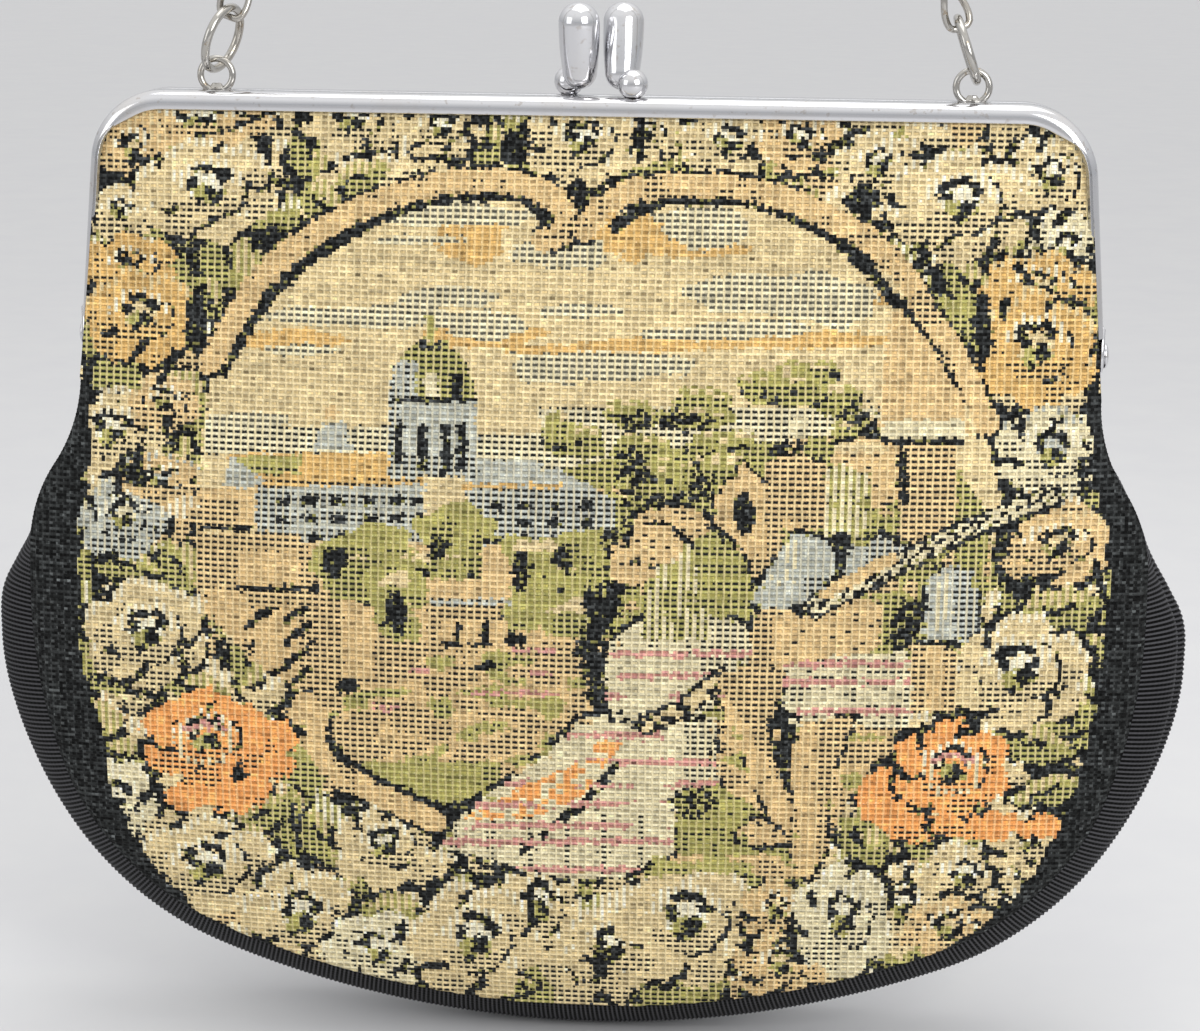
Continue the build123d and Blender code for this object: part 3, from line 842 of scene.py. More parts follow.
def paint_border(art):
    """Closely set petals between broken dark lines, with the listed leaves and roses over them."""
    px, py = art.px, art.py
    rows, columns = np.meshgrid(np.arange(1, 24), np.arange(1, 28), indexing="ij")
    shift = chance.uniform(-0.34, 0.34, (2, rows.size))
    middle_x = (columns.ravel() + 0.5 * (rows.ravel() % 2) + shift[0]) * petal_spacing
    middle_y = (rows.ravel() + shift[1]) * petal_spacing
    away = np.hypot(px[:, None] - middle_x, (py[:, None] - middle_y) * 1.1)
    nearest = away.argmin(1)
    two = np.partition(away, 1, axis=1)[:, :2]
    kind = chance.random(rows.size)[nearest]
    fall = (py - middle_y[nearest]) / petal_spacing
    art.fill(np.ones(len(px), bool), "cream", fall > 0.12)
    art.fill(kind < 0.42, "olive", (fall > 0.05) | (kind < 0.12))
    art.fill((kind > 0.42) & (kind < 0.55), "tan", fall > -0.1)
    art.fill((fall < -0.16) & art.upright & (kind > 0.2), "white")
    art.fill((two[:, 1] - two[:, 0] < 11) & (cloud(px, py, 26, 3) > 0.52), "black")
    for cx, cy, long, wide, tilt in leaves:
        art.leaf(cx, cy, long, wide, tilt)
    for rose in roses:
        art.rose(*rose)
    gaps = [
        (514, 150, 15, 20), (274, 240, 26, 14), (196, 322, 12, 34), (1000, 540, 10, 22),
        (1022, 586, 16, 12), (862, 200, 18, 16), (880, 226, 12, 10), (938, 286, 12, 10),
        (982, 330, 9, 36), (578, 198, 12, 14), (600, 960, 9, 26), (1060, 770, 24, 8),
        (136, 476, 14, 12), (250, 790, 12, 5),
    ]
    art.blots(gaps, 0.5, 9, 8)


def paint_orange_roses(art):
    """Two orange roses, each with a pale bowl and loose petals beside and below it."""
    spots = [
        (205, 738, 62, 48, [(272, 738, 26, 18), (270, 768, 26, 14), (236, 792, 36, 18), (190, 796, 26, 14)]),
        (952, 768, 58, 48, [(886, 796, 30, 30), (912, 826, 32, 16), (976, 826, 46, 15), (1040, 828, 32, 11)]),
    ]
    for cx, cy, rx, ry, loose in spots:
        for ex, ey, erx, ery in loose:
            art.petal(ex, ey, erx, ery, "orange", "orange")
        art.rose(cx, cy, rx, ry, "orange", "orange", 0.5)
        bowl = art.oval(cx, cy + 6, rx * 0.5, ry * 0.42)
        art.fill((bowl < 1) & (bowl > 0.72) & art.upright, "pale")
        art.fill((np.abs(art.py - cy + 12) < 2.6) & (np.abs(art.px - cx) < 22), "pink")


def paint_sky(art, inside):
    """Cream sky with gold bands and long dashed streaks."""
    px, py = art.px, art.py
    wobble = 0.5 * (cloud(px * 0.3, py, 9, 11) - 0.5)
    art.fill(inside, "cream")
    bands = [
        (286, 340, 70, 12), (470, 236, 34, 26), (640, 238, 70, 20), (660, 345, 90, 8),
        (800, 340, 90, 9), (480, 334, 60, 12), (560, 350, 50, 6), (820, 300, 70, 10), (700, 250, 60, 8),
    ]
    for cx, cy, rx, ry in bands:
        art.fill(inside & (art.oval(cx, cy, rx, ry) < 1 + wobble), "gold")
    streaks = [
        (450, 214, 84, 13), (562, 254, 46, 17), (704, 230, 54, 20), (448, 297, 44, 11),
        (372, 317, 120, 11), (490, 325, 40, 14), (580, 312, 40, 7), (590, 366, 98, 17),
        (770, 296, 78, 20), (826, 300, 50, 26), (690, 335, 60, 6), (420, 240, 50, 4), (300, 350, 44, 6),
        (250, 420, 48, 8), (760, 328, 60, 8),
    ]
    for cx, cy, rx, ry in streaks:
        art.fill(inside & (art.oval(cx, cy, rx, ry) < 1 + wobble), "pale", 0.7)


def paint_hall(art, inside):
    """Domed hall with two wings, rows of windows and gold roofs."""
    px, py = art.px, art.py
    art.fill(inside & art.box(205, 392, 427, 454), "pale", py > 0)
    art.fill(art.oval(331, 412, 7, 8) < 1, "tan")
    art.fill(art.inside([(312, 450), (322, 424), (342, 420), (352, 450)]), "blue")
    art.fill(art.box(474, 548, 434, 460), "pale", py > 0)
    art.fill(inside & art.box(228, 424, 453, 487), "gold", py > 480)
    art.fill(art.box(238, 300, 456, 474), "olive", py > 466)
    art.fill(art.inside([(222, 488), (232, 456), (246, 466), (272, 490), (272, 502), (222, 502)]), "blue")
    left, right = art.box(256, 424, 486, 541), art.box(466, 618, 460, 552)
    art.fill(inside & left, "blue", (py % 18 > 8) | (px < 290))
    art.fill(right, "blue", py > 490)
    art.fill(art.box(460, 565, 484, 489), "gold")
    for wing, columns, lines in (
        (left, (283, 310, 339, 370, 397, 418), (501, 519)),
        (left, (316, 341), (537,)),
        (right, (494, 525, 555, 585), (506, 523, 540)),
    ):
        for x in columns:
            for y in lines:
                art.fill(wing & (np.abs(px - x) < 6.2) & (np.abs(py - y) < 4.4), "black")
    art.fill(art.box(388, 476, 400, 478), "blue", (px < 400) | (py > 456))
    for x in (398, 422, 446, 462):
        art.fill((np.abs(px - x) < 4.6) & (py > 424) & (py < 476 - 0.3 * np.abs(px - 440)), "black")
    dome = (art.oval(431, 398, 43, 58) < 1) & (py < 402)
    art.fill(dome, "olive", (px > 418) | (py < 372))
    art.fill(dome & (px < 416) & (py > 360), "blue", (px // 7.5) % 2 < 1)
    art.fill(art.box(424, 438, 372, 398), "pale")
    art.fill(dome & (np.abs(px - 456) < 7) & (py > 372), "black")
    art.fill(dome & (np.abs(px - 431) < 9) & (py > 340) & (py < 348), "black")
    art.fill((np.abs(px - 431) < 4) & (py > 314) & (py < 344), "olive")
    art.fill(art.box(390, 474, 398, 403), "black")


def paint_village(art, inside):
    """Cottages, their walls, the trees about them and the lawn."""
    px, py = art.px, art.py
    leafy = cloud(px, py, 21, 31) + 0.5 * cloud(px, py, 9, 32)
    dark = cloud(px, py, 14, 33) > 0.6
    lawn = inside & (py > 545)
    tuft = cloud(px * 0.4, py, 11, 13)
    art.fill(lawn, "tan", (tuft > 0.55) & (py > 640))
    art.fill(lawn & (tuft < 0.34) & (py > 650), "olive", cloud(px, py, 9, 14) > 0.6)
    art.fill(lawn & (px < 500) & (py > 762), "olive", (tuft > 0.72) & (py < 790))
    art.fill(inside & art.box(196, 256, 487, 527), "tan", (px % 60 > 20) & (py > 500))
    art.fill(inside & art.box(196, 252, 525, 530), "black")
    roof = art.inside([(196, 590), (198, 532), (300, 532), (322, 586)])
    art.fill(roof, "tan", (px < 238) | (py < 550) | (px > 300))
    art.fill(art.box(238, 322, 585, 591), "black")
    wall = inside & art.box(246, 342, 591, 712)
    art.fill(wall, "tan", (px > 300) | (py < 604))
    check = ((px / 7.5 + py / 5.6) % 4 < 1.7) & (cloud(px, py, 30, 15) > 0.3)
    art.fill(wall & (px < 312) & (py > 606) & check, "black")
    art.fill(art.box(342, 374, 604, 676), "tan")
    art.fill(art.box(374, 408, 636, 676), "tan", py > 0)
    crowns = [
        (372, 566, 54, 38), (404, 590, 34, 26), (456, 532, 36, 28), (440, 566, 44, 22),
        (566, 580, 52, 48), (536, 556, 34, 24), (594, 556, 30, 26), (580, 618, 44, 26),
        (524, 606, 22, 30), (400, 622, 24, 22),
    ]
    for cx, cy, rx, ry in crowns:
        crown = art.oval(cx, cy, rx, ry) + 0.45 * (leafy - 0.72)
        art.fill(crown < 1, "olive", dark & (py > cy - 0.5 * ry))
        art.fleck((crown < 1) & (py > cy + 0.1 * ry), "black", 0.09)
        art.fill((crown < 0.9) & (py < cy - 0.2 * ry) & (leafy > 0.8), "cream")
    shadows = [
        (437, 547, 10, 12), (334, 562, 13, 18), (396, 612, 11, 18), (522, 574, 8, 18),
        (562, 558, 8, 14), (350, 686, 12, 8), (516, 640, 14, 6), (486, 667, 13, 4), (590, 600, 6, 14),
    ]
    art.blots(shadows, 0.7, 8, 34)
    art.fill(art.box(427, 512, 579, 599), "tan")
    art.fill(art.box(427, 512, 599, 605), "blue", px % 8 < 4)
    art.fill(art.box(430, 503, 605, 650), "tan", (py < 620) | (px < 440))
    for x in (458, 486):
        art.fill((np.abs(px - x) < 3.4) & (py > 620) & (py < 646), "black")
        art.fill((np.abs(px - x + 6) < 10) & (py > 641) & (py < 647), "black")
    rows = [(650, 508, 556), (672, 530, 548), (693, 470, 560), (670, 408, 430), (708, 372, 398)]
    for y, left, right in rows:
        art.fill(art.box(left, right, y - 2.4, y + 2.4), "pink")


def paint_bank(art, inside):
    """Trees and house behind the couple."""
    px, py = art.px, art.py
    leafy = cloud(px, py, 19, 41) + 0.5 * cloud(px, py, 8, 42)
    bank = [
        (560, 470), (640, 452), (780, 440), (860, 430), (898, 440), (960, 470), (990, 520), (985, 640),
        (930, 700), (640, 690), (610, 600), (616, 500),
    ]
    bank = inside & art.inside(bank)
    art.fill(inside & art.box(540, 880, 408, 470), "pale", (leafy > 0.5) | (py > 440))
    art.fill(bank, "olive", leafy > 0.62)
    art.fill(bank & (leafy < 0.46), "tan", py > 0)
    bushes = [
        (576, 440, 34, 20), (560, 424, 12, 14), (632, 416, 26, 18), (700, 402, 32, 18),
        (690, 418, 44, 10), (760, 386, 22, 18), (800, 388, 36, 22), (838, 398, 26, 20),
        (826, 372, 16, 12), (640, 446, 30, 14), (722, 446, 40, 14), (860, 432, 24, 20),
        (660, 478, 40, 20), (720, 470, 40, 16),
    ]
    for cx, cy, rx, ry in bushes:
        bush = art.oval(cx, cy, rx, ry) + 0.5 * (leafy - 0.72)
        art.fill(inside & (bush < 1), "olive", (py > cy - 0.2 * ry) & (leafy > 0.5))
        art.fleck(inside & (bush < 1) & (py > cy), "black", 0.15)
        art.fleck(inside & (bush < 0.9) & (py < cy - 0.3 * ry), "cream", 0.3)
    shadows = [
        (640, 418, 16, 9), (690, 420, 26, 10), (634, 466, 17, 18), (700, 488, 14, 20),
        (790, 452, 24, 12), (812, 470, 12, 14), (856, 412, 12, 18), (868, 430, 12, 14),
        (640, 512, 16, 16), (664, 500, 30, 7), (770, 400, 12, 7), (610, 540, 12, 12),
        (706, 584, 12, 20), (740, 612, 26, 14),
    ]
    art.blots(shadows, 0.9, 8, 43, (px // 7 + py // 5.6) % 3 > 0.5)
    art.fill(art.inside([(880, 436), (882, 376), (892, 310), (924, 312), (958, 372), (972, 436)]), "tan")
    art.fill(art.box(882, 966, 420, 438), "pale")
    art.fill(art.box(884, 966, 438, 445), "black")
    art.fill(art.box(899, 956, 445, 552), "tan", py > 0)
    gable = [(772, 530), (764, 462), (800, 452), (838, 470), (836, 530)]
    art.fill(art.inside(gable), "tan", (py < 480) | (px > 800))


def paint_couple(art):
    """Courting couple before a cottage, as plain fields of colour; their heads are plain tan."""
    px, py = art.px, art.py
    floats = art.upright
    trunk = art.from_line([(630, 574), (602, 612), (590, 652), (600, 690), (612, 716)])
    art.fill((trunk < 15) & ((trunk < 8) | (art.toss < 0.7)), "black")
    cottage = [(716, 578), (714, 500), (744, 462), (782, 500), (782, 578)]
    art.shape(cottage, "tan", (px > 766) | (py > 556), 3)
    art.shape([(764, 520), (768, 462), (790, 454), (824, 472), (824, 520)], "tan", py > 0, 0)
    art.fill(art.oval(744, 513, 12, 20) < 1, "black")
    shawl = [(692, 534), (716, 530), (744, 556), (754, 600), (746, 624), (700, 616)]
    art.shape(shawl, "olive", py % 18 > 7)
    skirt = [
        (581, 720), (640, 706), (715, 716), (719, 787), (676, 792), (674, 851), (618, 879), (565, 879),
        (495, 863), (439, 847), (463, 812), (511, 780), (541, 758),
    ]
    art.shape(skirt, "pale", (px > 684) | ((px // 7.5) % 5 < 1) & (py > 815), 7)
    bodice = [
        (612, 716), (604, 680), (612, 640), (640, 620), (690, 612), (746, 624), (752, 652), (742, 676),
        (700, 716),
    ]
    art.shape(bodice, "pale", (px > 700) | ((px // 9) % 4 < 1) & (py < 650), 6)
    flame = [(605, 738), (621, 744), (590, 790), (560, 812), (500, 820), (462, 818), (530, 784), (572, 766)]
    art.fleck(art.inside(flame), "orange", 0.62)
    hem = art.from_line([(618, 764), (581, 806), (548, 830), (522, 851)])
    art.fill((hem < 4.5) & (art.toss < 0.8), "black")
    folds = art.inside(skirt) | art.inside(bodice)
    for y in (654, 675, 696, 735, 762, 784, 805, 826, 842, 870):
        art.fill(folds & (np.abs(py - y) < 3.1) & (cloud(px * 0.3, py, 15, 45) > 0.25), "pink")
    arm = art.from_line([(646, 724), (684, 708), (720, 678)])
    art.fill(arm < 11, "black", arm > 6)
    art.fill((arm < 7.5) & (art.toss < 0.72), "cream")
    neck = art.inside([(640, 640), (650, 562), (664, 537), (690, 540), (700, 600), (714, 640)])
    art.fill(neck, "olive", py > 580)
    streak = cloud(px * 3, py, 24, 46) > 0.3
    art.fill(neck & floats & streak, "pale")
    for cx, cy, rx, ry in ((672, 525, 38, 18), (634, 561, 24, 25), (656, 546, 26, 19)):
        rim = art.oval(cx, cy, rx + 6, ry + 6) < 1
        art.fill(rim & ((px < cx) | (py < cy)) & (art.toss < 0.75), "black")
        art.fill(art.oval(cx, cy, rx, ry) < 1, "tan", art.toss < 0.2)
    head = [(826, 470), (836, 446), (866, 436), (898, 446), (904, 476), (896, 500), (870, 506)]
    art.shape(head, "tan", art.toss < 0.3)
    art.fill(art.box(838, 884, 442, 452), "cream")
    hair = art.inside([(824, 540), (826, 470), (842, 462), (868, 474), (874, 520), (850, 544)])
    art.fill(hair, "olive", art.toss < 0.4)
    art.fill(hair & floats & streak, "pale")
    art.fill(art.from_line([(903, 454), (905, 502)]) < 4.5, "black")
    vest = [(748, 672), (756, 612), (800, 600), (846, 596), (884, 604), (880, 650), (846, 664), (790, 680)]
    art.shape(vest, "tan", (px < 772) | (art.toss < 0.12), 0)
    coat = [(772, 724), (786, 664), (846, 656), (908, 650), (914, 690), (908, 728)]
    art.shape(coat, "pale", art.toss < 0.35, 0)
    for y in (664, 682, 711):
        art.fill(art.inside(coat) & (np.abs(py - y) < 3.1) & (art.toss < 0.85), "pink")
    art.fill(art.box(911, 956, 640, 712), "tan", (px < 926) | (px > 944))
    art.fill(art.from_line([(842, 540), (840, 566), (818, 594), (800, 608)]) < 9, "black")
    sleeve = [
        (796, 532), (826, 540), (838, 560), (828, 588), (802, 606), (770, 612), (750, 606), (758, 586),
        (776, 558),
    ]
    art.shape(sleeve, "blue", (px > 806) & (py > 576), 4)
    art.fill(art.inside(sleeve) & (px < 800) & (py < 584) & floats & (art.toss < 0.6), "pale")
    art.shape([(844, 576), (850, 548), (880, 536), (908, 546), (918, 560), (880, 578)], "blue", px > 866)
    art.shape([(922, 640), (928, 578), (950, 564), (976, 572), (978, 628), (964, 644)], "blue", px > 954)
    art.fill(art.box(934, 952, 572, 630) & floats & streak, "pale")
    art.fill((art.oval(906, 624, 14, 28, 24) < 1) & (art.toss < 0.85), "black")
    stick = art.from_line([(814, 608), (880, 574), (960, 532), (1052, 497)])
    art.fill(stick < 12, "black")
    art.fill((stick < 8) & ((px + py) % 11 < 6.5), "pale")
    art.fill(art.from_line([(826, 594), (892, 558)]) < 6, "tan")
    grass = [(676, 792), (719, 784), (790, 830), (790, 856), (676, 856)]
    art.fill(art.inside(grass), "olive", art.toss < 0.45)
    art.fill((art.oval(694, 804, 24, 16) < 1) & ((px // 7.5 + py // 6) % 2 < 1), "black")
    shadow = art.inside([(762, 700), (800, 716), (794, 770), (786, 812), (770, 760)])
    art.fill(shadow & (art.toss < 0.8), "black")
    shoe = [(736, 838), (748, 820), (780, 814), (794, 824), (790, 842), (760, 846)]
    art.shape(shoe, "tan", art.toss < 0.4)
    left_leg = [
        (714, 676), (742, 666), (784, 668), (780, 704), (766, 728), (778, 768), (794, 812), (790, 834),
        (772, 820), (752, 778), (736, 730), (722, 702),
    ]
    art.shape(left_leg, "tan", (px - 0.62 * py > 296) | (art.toss < 0.1), 4)
    right_leg = [
        (802, 722), (856, 716), (838, 758), (828, 800), (828, 846), (812, 878), (788, 876), (798, 830),
        (790, 780), (792, 744),
    ]
    art.shape(right_leg, "tan", (px > 818) | (art.toss < 0.1), 4)


def paint_scroll(art):
    """Tan scroll round the scene with a black line inside it."""
    scrolls = [(scroll_left, line_left, 12), (scroll_right, line_right, 12), (scroll_foot, line_foot, 11)]
    for path, line, wide in scrolls:
        art.fill((art.from_line(path) < wide + 4) & (cloud(art.px, art.py, 28, 61) > 0.42), "black")
        art.fill(art.from_line(line) < 6.4, "black")
        art.fill(art.from_line(path) < wide, "tan", cloud(art.px, art.py, 14, 62) > 0.75)


def painted(px, py, upright, toss):
    """The whole picture from back to front, with ragged edges and the border's petals combed upright."""
    stray = np.random.default_rng(5)
    across = px + stray.normal(0, ragged_across, len(px))
    down = py + stray.normal(0, ragged_down, len(px))
    art = Picture(across, down, upright, toss)
    plain = art.py
    combed = plain + comb_height * (cloud(art.px * 4, plain, 30, 71) - 0.5)
    art.py = combed
    paint_border(art)
    art.py = plain
    inside = art.inside(scene_outline)
    paint_sky(art, inside)
    paint_hall(art, inside)
    paint_village(art, inside)
    paint_bank(art, inside)
    paint_couple(art)
    paint_scroll(art)
    art.py = combed
    paint_orange_roses(art)
    return art


# Pieces


def front_tapestry(material):
    """Front panel: four small quads to a stitch on the crowned sheet, each raised towards its middle."""
    columns = round(2 * half_panel / stitch_width)
    rows = round((cloth_top - seam_rise) / stitch_height)
    across, up, limit = cloth_grid(2 * columns + 1, 2 * rows + 1)
    row, column = np.indices(across.shape)
    quads = shown_quads(across, grid_quads(*across.shape))
    edge = limit - np.abs(across)
    depth = crown_depth(across.ravel(), up.ravel()).reshape(across.shape)
    middles = [(v[1:, 1:] + v[:-1, :-1]).ravel() / 2 for v in (across, depth, up, edge)]
    x, back, z, inset = middles
    over, along = column[:-1, :-1].ravel(), row[:-1, :-1].ravel()
    stitch = along // 2 * columns + over // 2
    toss = chance.random(rows * columns)[stitch]
    art = painted(*seen(np.stack([x, -back, z], -1)), over % 2 == 0, toss)
    side_ground = np.where(x < 0, left_ground, right_ground)
    side_ground = side_ground * smooth_step(14, 60, z) * smooth_step(118, 92, z)
    side_ground = side_ground + 1.6 * smooth_step(8, 30, z) + 2.2 * (cloud(x * 4, z * 4, 15, 9) - 0.3)
    ground = (inset < side_ground) & (z < waist_z) & (z > 12)
    art.fill(ground, "black")
    speck = (art.weft.max(1) < black_limit) & ~ground & (chance.random(len(x)) < speck_share)
    art.weft[speck] = np.array(thread["olive"]) * 0.8
    black = art.weft.max(1) < black_limit
    uneven = np.where(black, chance.normal(1.0, 0.4, len(x)).clip(0.4, 2.4), 1.0)
    raised = (column % 2) * 0.5 + (row % 2) * 0.5 - 0.5
    depth = rolled_in(depth + stitch_relief * raised, up, edge)
    slack = np.sin(up / 9.0 + across / 23.0) * smooth_step(4, 20, edge) * smooth_step(*slack_fade, up)
    depth = depth + 0.25 * slack
    made = piece("front_tapestry", (np.stack([across, -depth, up], -1).reshape(-1, 3), quads), material)
    flat_map(made, column.ravel() / 2, row.ravel() / 2)
    vary = chance.normal(1.0, 0.05, rows * columns)[stitch] + chance.normal(0, 0.04, len(x))
    vary = vary + chance.normal(0, 0.03, 2 * rows)[along] + chance.normal(0, 0.03, 2 * columns)[over]
    vary = vary * uneven
    worn = (chance.normal(1.0, 0.08, rows * columns) - 0.3 * (chance.random(rows * columns) < 0.05))[stitch]
    light = art.spot.mean(1, keepdims=True)
    first = np.min(quads, 1)
    quarter = first // across.shape[1] * (2 * columns) + first % across.shape[1]
    layers = [("weft", art.weft, art.warp[:, None]), ("spot", art.spot * worn[:, None], light)]
    for name, colour, last in layers:
        values = np.concatenate([linear(np.clip(colour * vary[:, None], 0, 1)), last], 1)[quarter]
        layer = made.data.attributes.new(name, "FLOAT_COLOR", "FACE")
        layer.data.foreach_set("color", values.astype(np.float32).ravel())
    return made


def plain_sheet(name, material, side, start, inset, columns=97, rows=81):
    """Crowned sheet without a picture; side is -1 for the front and 1 for the back."""
    across, up, limit = cloth_grid(columns, rows, inset)
    depth = crown_depth(across, up) - start
    depth = depth + 0.3 * np.sin(up / 8.0 + across / 19.0) * smooth_step(*slack_fade, up)
    depth = rolled_in(depth, up, limit - np.abs(across))
    points = np.stack([across, side * depth, up], -1).reshape(-1, 3)
    quads = shown_quads(across, grid_quads(*across.shape))
    if side > 0:
        quads = quads[:, ::-1]
    return piece(name, (points, quads), material)


def gusset(material):
    """Ribbon: a bowed strip along the seam with cross ribs and a soft crease, tucked in at the hinges."""
    total = seam_along[-1] + ribbon_tuck
    count = int(2 * total / rib_pitch * 4)
    along = np.linspace(-total, total, count)
    reach = np.abs(along)
    tucked = np.maximum(reach - seam_along[-1], 0)
    shift = tuck_shift * smooth_step(0, tuck_reach, tucked) + tuck_lean * tucked
    x = np.sign(along) * (np.interp(reach, seam_along, seam_x) - shift)
    z = np.interp(reach, seam_along, seam_z) + tucked
    heading = np.interp(reach, seam_along, seam_heading)
    bulge = smooth_through(bulge_heights, bulges, z)
    depth = crown_depth(x, z) - panel_thickness * 0.75 - tuck_taper * tucked
    t = np.linspace(-1, 1, 25)
    bow = 1 - t[None] ** 2
    crease = np.exp(-(((t[None] - crease_place) / crease_width) ** 2)) * smooth_step(20, 90, along)[:, None]
    crease = crease * smooth_step(116, 80, z)[:, None]
    rib = rib_height * np.cos(2 * pi * along / rib_pitch)
    out = bulge[:, None] * bow - crease_depth * crease + rib[:, None] * (0.4 + 0.6 * bow)
    points = np.empty((count, len(t), 3))
    points[..., 0] = x[:, None] + np.sign(along)[:, None] * np.sin(heading)[:, None] * out
    points[..., 1] = t[None] * depth[:, None]
    points[..., 2] = z[:, None] - np.cos(heading)[:, None] * out
    points[..., 2] = np.maximum(points[..., 2], 0.02)
    made = piece("grosgrain_gusset", (points.reshape(-1, 3), grid_quads(count, len(t))[:, ::-1]), material)
    u = np.broadcast_to(t[None], out.shape)
    v = np.broadcast_to(along[:, None] / rib_pitch + 0.25, out.shape)
    flat_map(made, u.ravel(), v.ravel())
    return made


def arch_path():
    """Outer line of the frame from foot to foot over the top: points and outward directions."""
    slope = atan(arm_splay / (frame_top - hinge_z))
    head_x = arm_half_width(frame_top)
    tangent = corner_radius * tan((pi / 2 - slope) / 2)
    centre = np.array([head_x - tangent, frame_top - corner_radius])
    arm_end = centre + corner_radius * np.array([cos(slope), sin(slope)])
    arm = np.linspace(0, 1, 24)[:, None]
    foot = np.array([arm_half_width(arm_foot_z), arm_foot_z])
    side = foot + arm * (arm_end - foot)
    turn = np.linspace(slope, pi / 2, 20)[1:, None]
    corner = centre + corner_radius * np.concatenate([np.cos(turn), np.sin(turn)], 1)
    flat = np.linspace(centre[0], 0, 60)[1:, None]
    top = np.concatenate([flat, np.full_like(flat, frame_top)], 1)
    right = np.concatenate([side, corner, top])
    outward = np.concatenate([
        np.tile([cos(slope), sin(slope)], (24, 1)),
        np.concatenate([np.cos(turn), np.sin(turn)], 1),
        np.tile([0.0, 1.0], (59, 1)),
    ])
    flip = np.array([-1.0, 1.0])
    return np.concatenate([right * flip, right[-2::-1]]), np.concatenate([outward * flip, outward[-2::-1]])


def channel(side):
    """Half of the frame: a channel with a rounded shoulder and a turned-in lip, carried along the arch."""
    path, outward = arch_path()
    lip = arm_lip + (top_lip - arm_lip) * smooth_step(0.35, 0.9, outward[:, 1])
    turn = np.linspace(0, pi / 2, 10)
    shoulder_in = round_edge * (1 - np.cos(turn))
    shoulder_out = half_depth - round_edge + round_edge * np.sin(turn)
    # Each point of the profile: inset from the outer line, as a length and a share of the lip, and depth
    lengths = np.concatenate([[0.25, 0.06, 0.0], shoulder_in])
    shares = np.zeros(len(lengths))
    depths = np.concatenate([[0.0, 0.06, 0.25], shoulder_out])
    curl = np.linspace(0, pi, 7)
    lip_inset = lip_curl * np.sin(curl) - lip_curl
    lengths = np.concatenate([lengths, lip_inset, [frame_wall, frame_wall], lip_inset])
    shares = np.concatenate([shares, np.ones(7), [0.0, 0.0], np.ones(7)])
    back = half_depth - frame_wall / 2 + frame_wall / 2 * np.cos(curl)
    front = frame_wall / 2 + frame_wall / 2 * np.cos(curl)
    depths = np.concatenate([depths, back, [half_depth - frame_wall, frame_wall], front])
    inset = lengths[None] + shares[None] * lip[:, None]
    points = np.empty((len(path), len(depths), 3))
    points[..., 0] = path[:, :1] - outward[:, :1] * inset
    points[..., 1] = side * (half_gap / 2 + depths[None])
    points[..., 2] = path[:, 1:] - outward[:, 1:] * inset
    quads = grid_quads(len(path), len(depths), round_columns=True)
    shapes = [(points.reshape(-1, 3), quads)]
    inner_x = front_tab_x if side < 0 else back_tab_x
    for mirrored in (-1, 1):
        shapes.append(hinge_tab(side, mirrored, inner_x))
        if side > 0:
            shapes.append(end_block(mirrored))
    return many(shapes)


def hinge_tab(side, mirrored, inner_x):
    """Flat round tab on a short neck, its rim a little rounded."""
    turn = np.linspace(0, 2 * pi, 48, endpoint=False)
    y = tab_radius * np.sin(turn)
    z = tab_radius * np.cos(turn)
    upper = np.cos(turn) > 0.2
    reach = side * (half_gap / 2 + tab_neck_half)
    neck = tab_neck_half * np.sign(np.sin(turn)) * np.minimum(1, np.abs(np.sin(turn)) * 3)
    y = np.where(upper, reach + neck, y)
    z = np.where(upper, tab_neck_height, z)
    rims = [(tab_radius, 0.0), (tab_edge, 0.0), (0.0, tab_edge)]
    rims += [(inset, frame_wall - depth) for inset, depth in reversed(rims)]
    rings = []
    for inset, depth in rims:
        share = 1 - inset / tab_radius
        ring = np.stack([np.full_like(y, inner_x + depth), y * share, hinge_z + z * share], -1)
        rings.append(ring)
    points = np.concatenate(rings) * np.array([mirrored, 1, 1])
    return points, grid_quads(len(rims), len(turn), round_columns=True)


def end_block(mirrored):
    """Solid end of a back arm."""
    low = np.array([back_tab_x, half_gap / 2, arm_foot_z])
    size = np.array([half_width - back_tab_x - block_inset, half_depth - block_short, block_height])
    corner = np.array([[x, y, z] for z in (0, 1) for x, y in ((0, 0), (1, 0), (1, 1), (0, 1))], float)
    points = (low + corner * size) * np.array([mirrored, 1, 1])
    quads = np.array([[0, 1, 2, 3], [4, 5, 6, 7], [0, 1, 5, 4], [1, 2, 6, 5], [2, 3, 7, 6], [3, 0, 4, 7]])
    return points, quads


def rivet(mirrored):
    """Shank with a low domed head."""
    turn = np.linspace(0, pi / 2, 8)
    dome = np.stack([rivet_head_radius * np.cos(turn), rivet_head * (0.35 + 0.65 * np.sin(turn))], -1)
    start = half_width + rivet_gap
    back = back_tab_x - start
    shank = [[0, back], [rivet_shank, back], [rivet_shank, 0], [rivet_head_radius, 0]]
    profile = np.concatenate([shank, dome])
    points, quads = revolved(profile, 32)
    points = np.stack([points[:, 2] + start, points[:, 1], points[:, 0] + hinge_z], -1)
    return points * np.array([mirrored, 1, 1]), quads


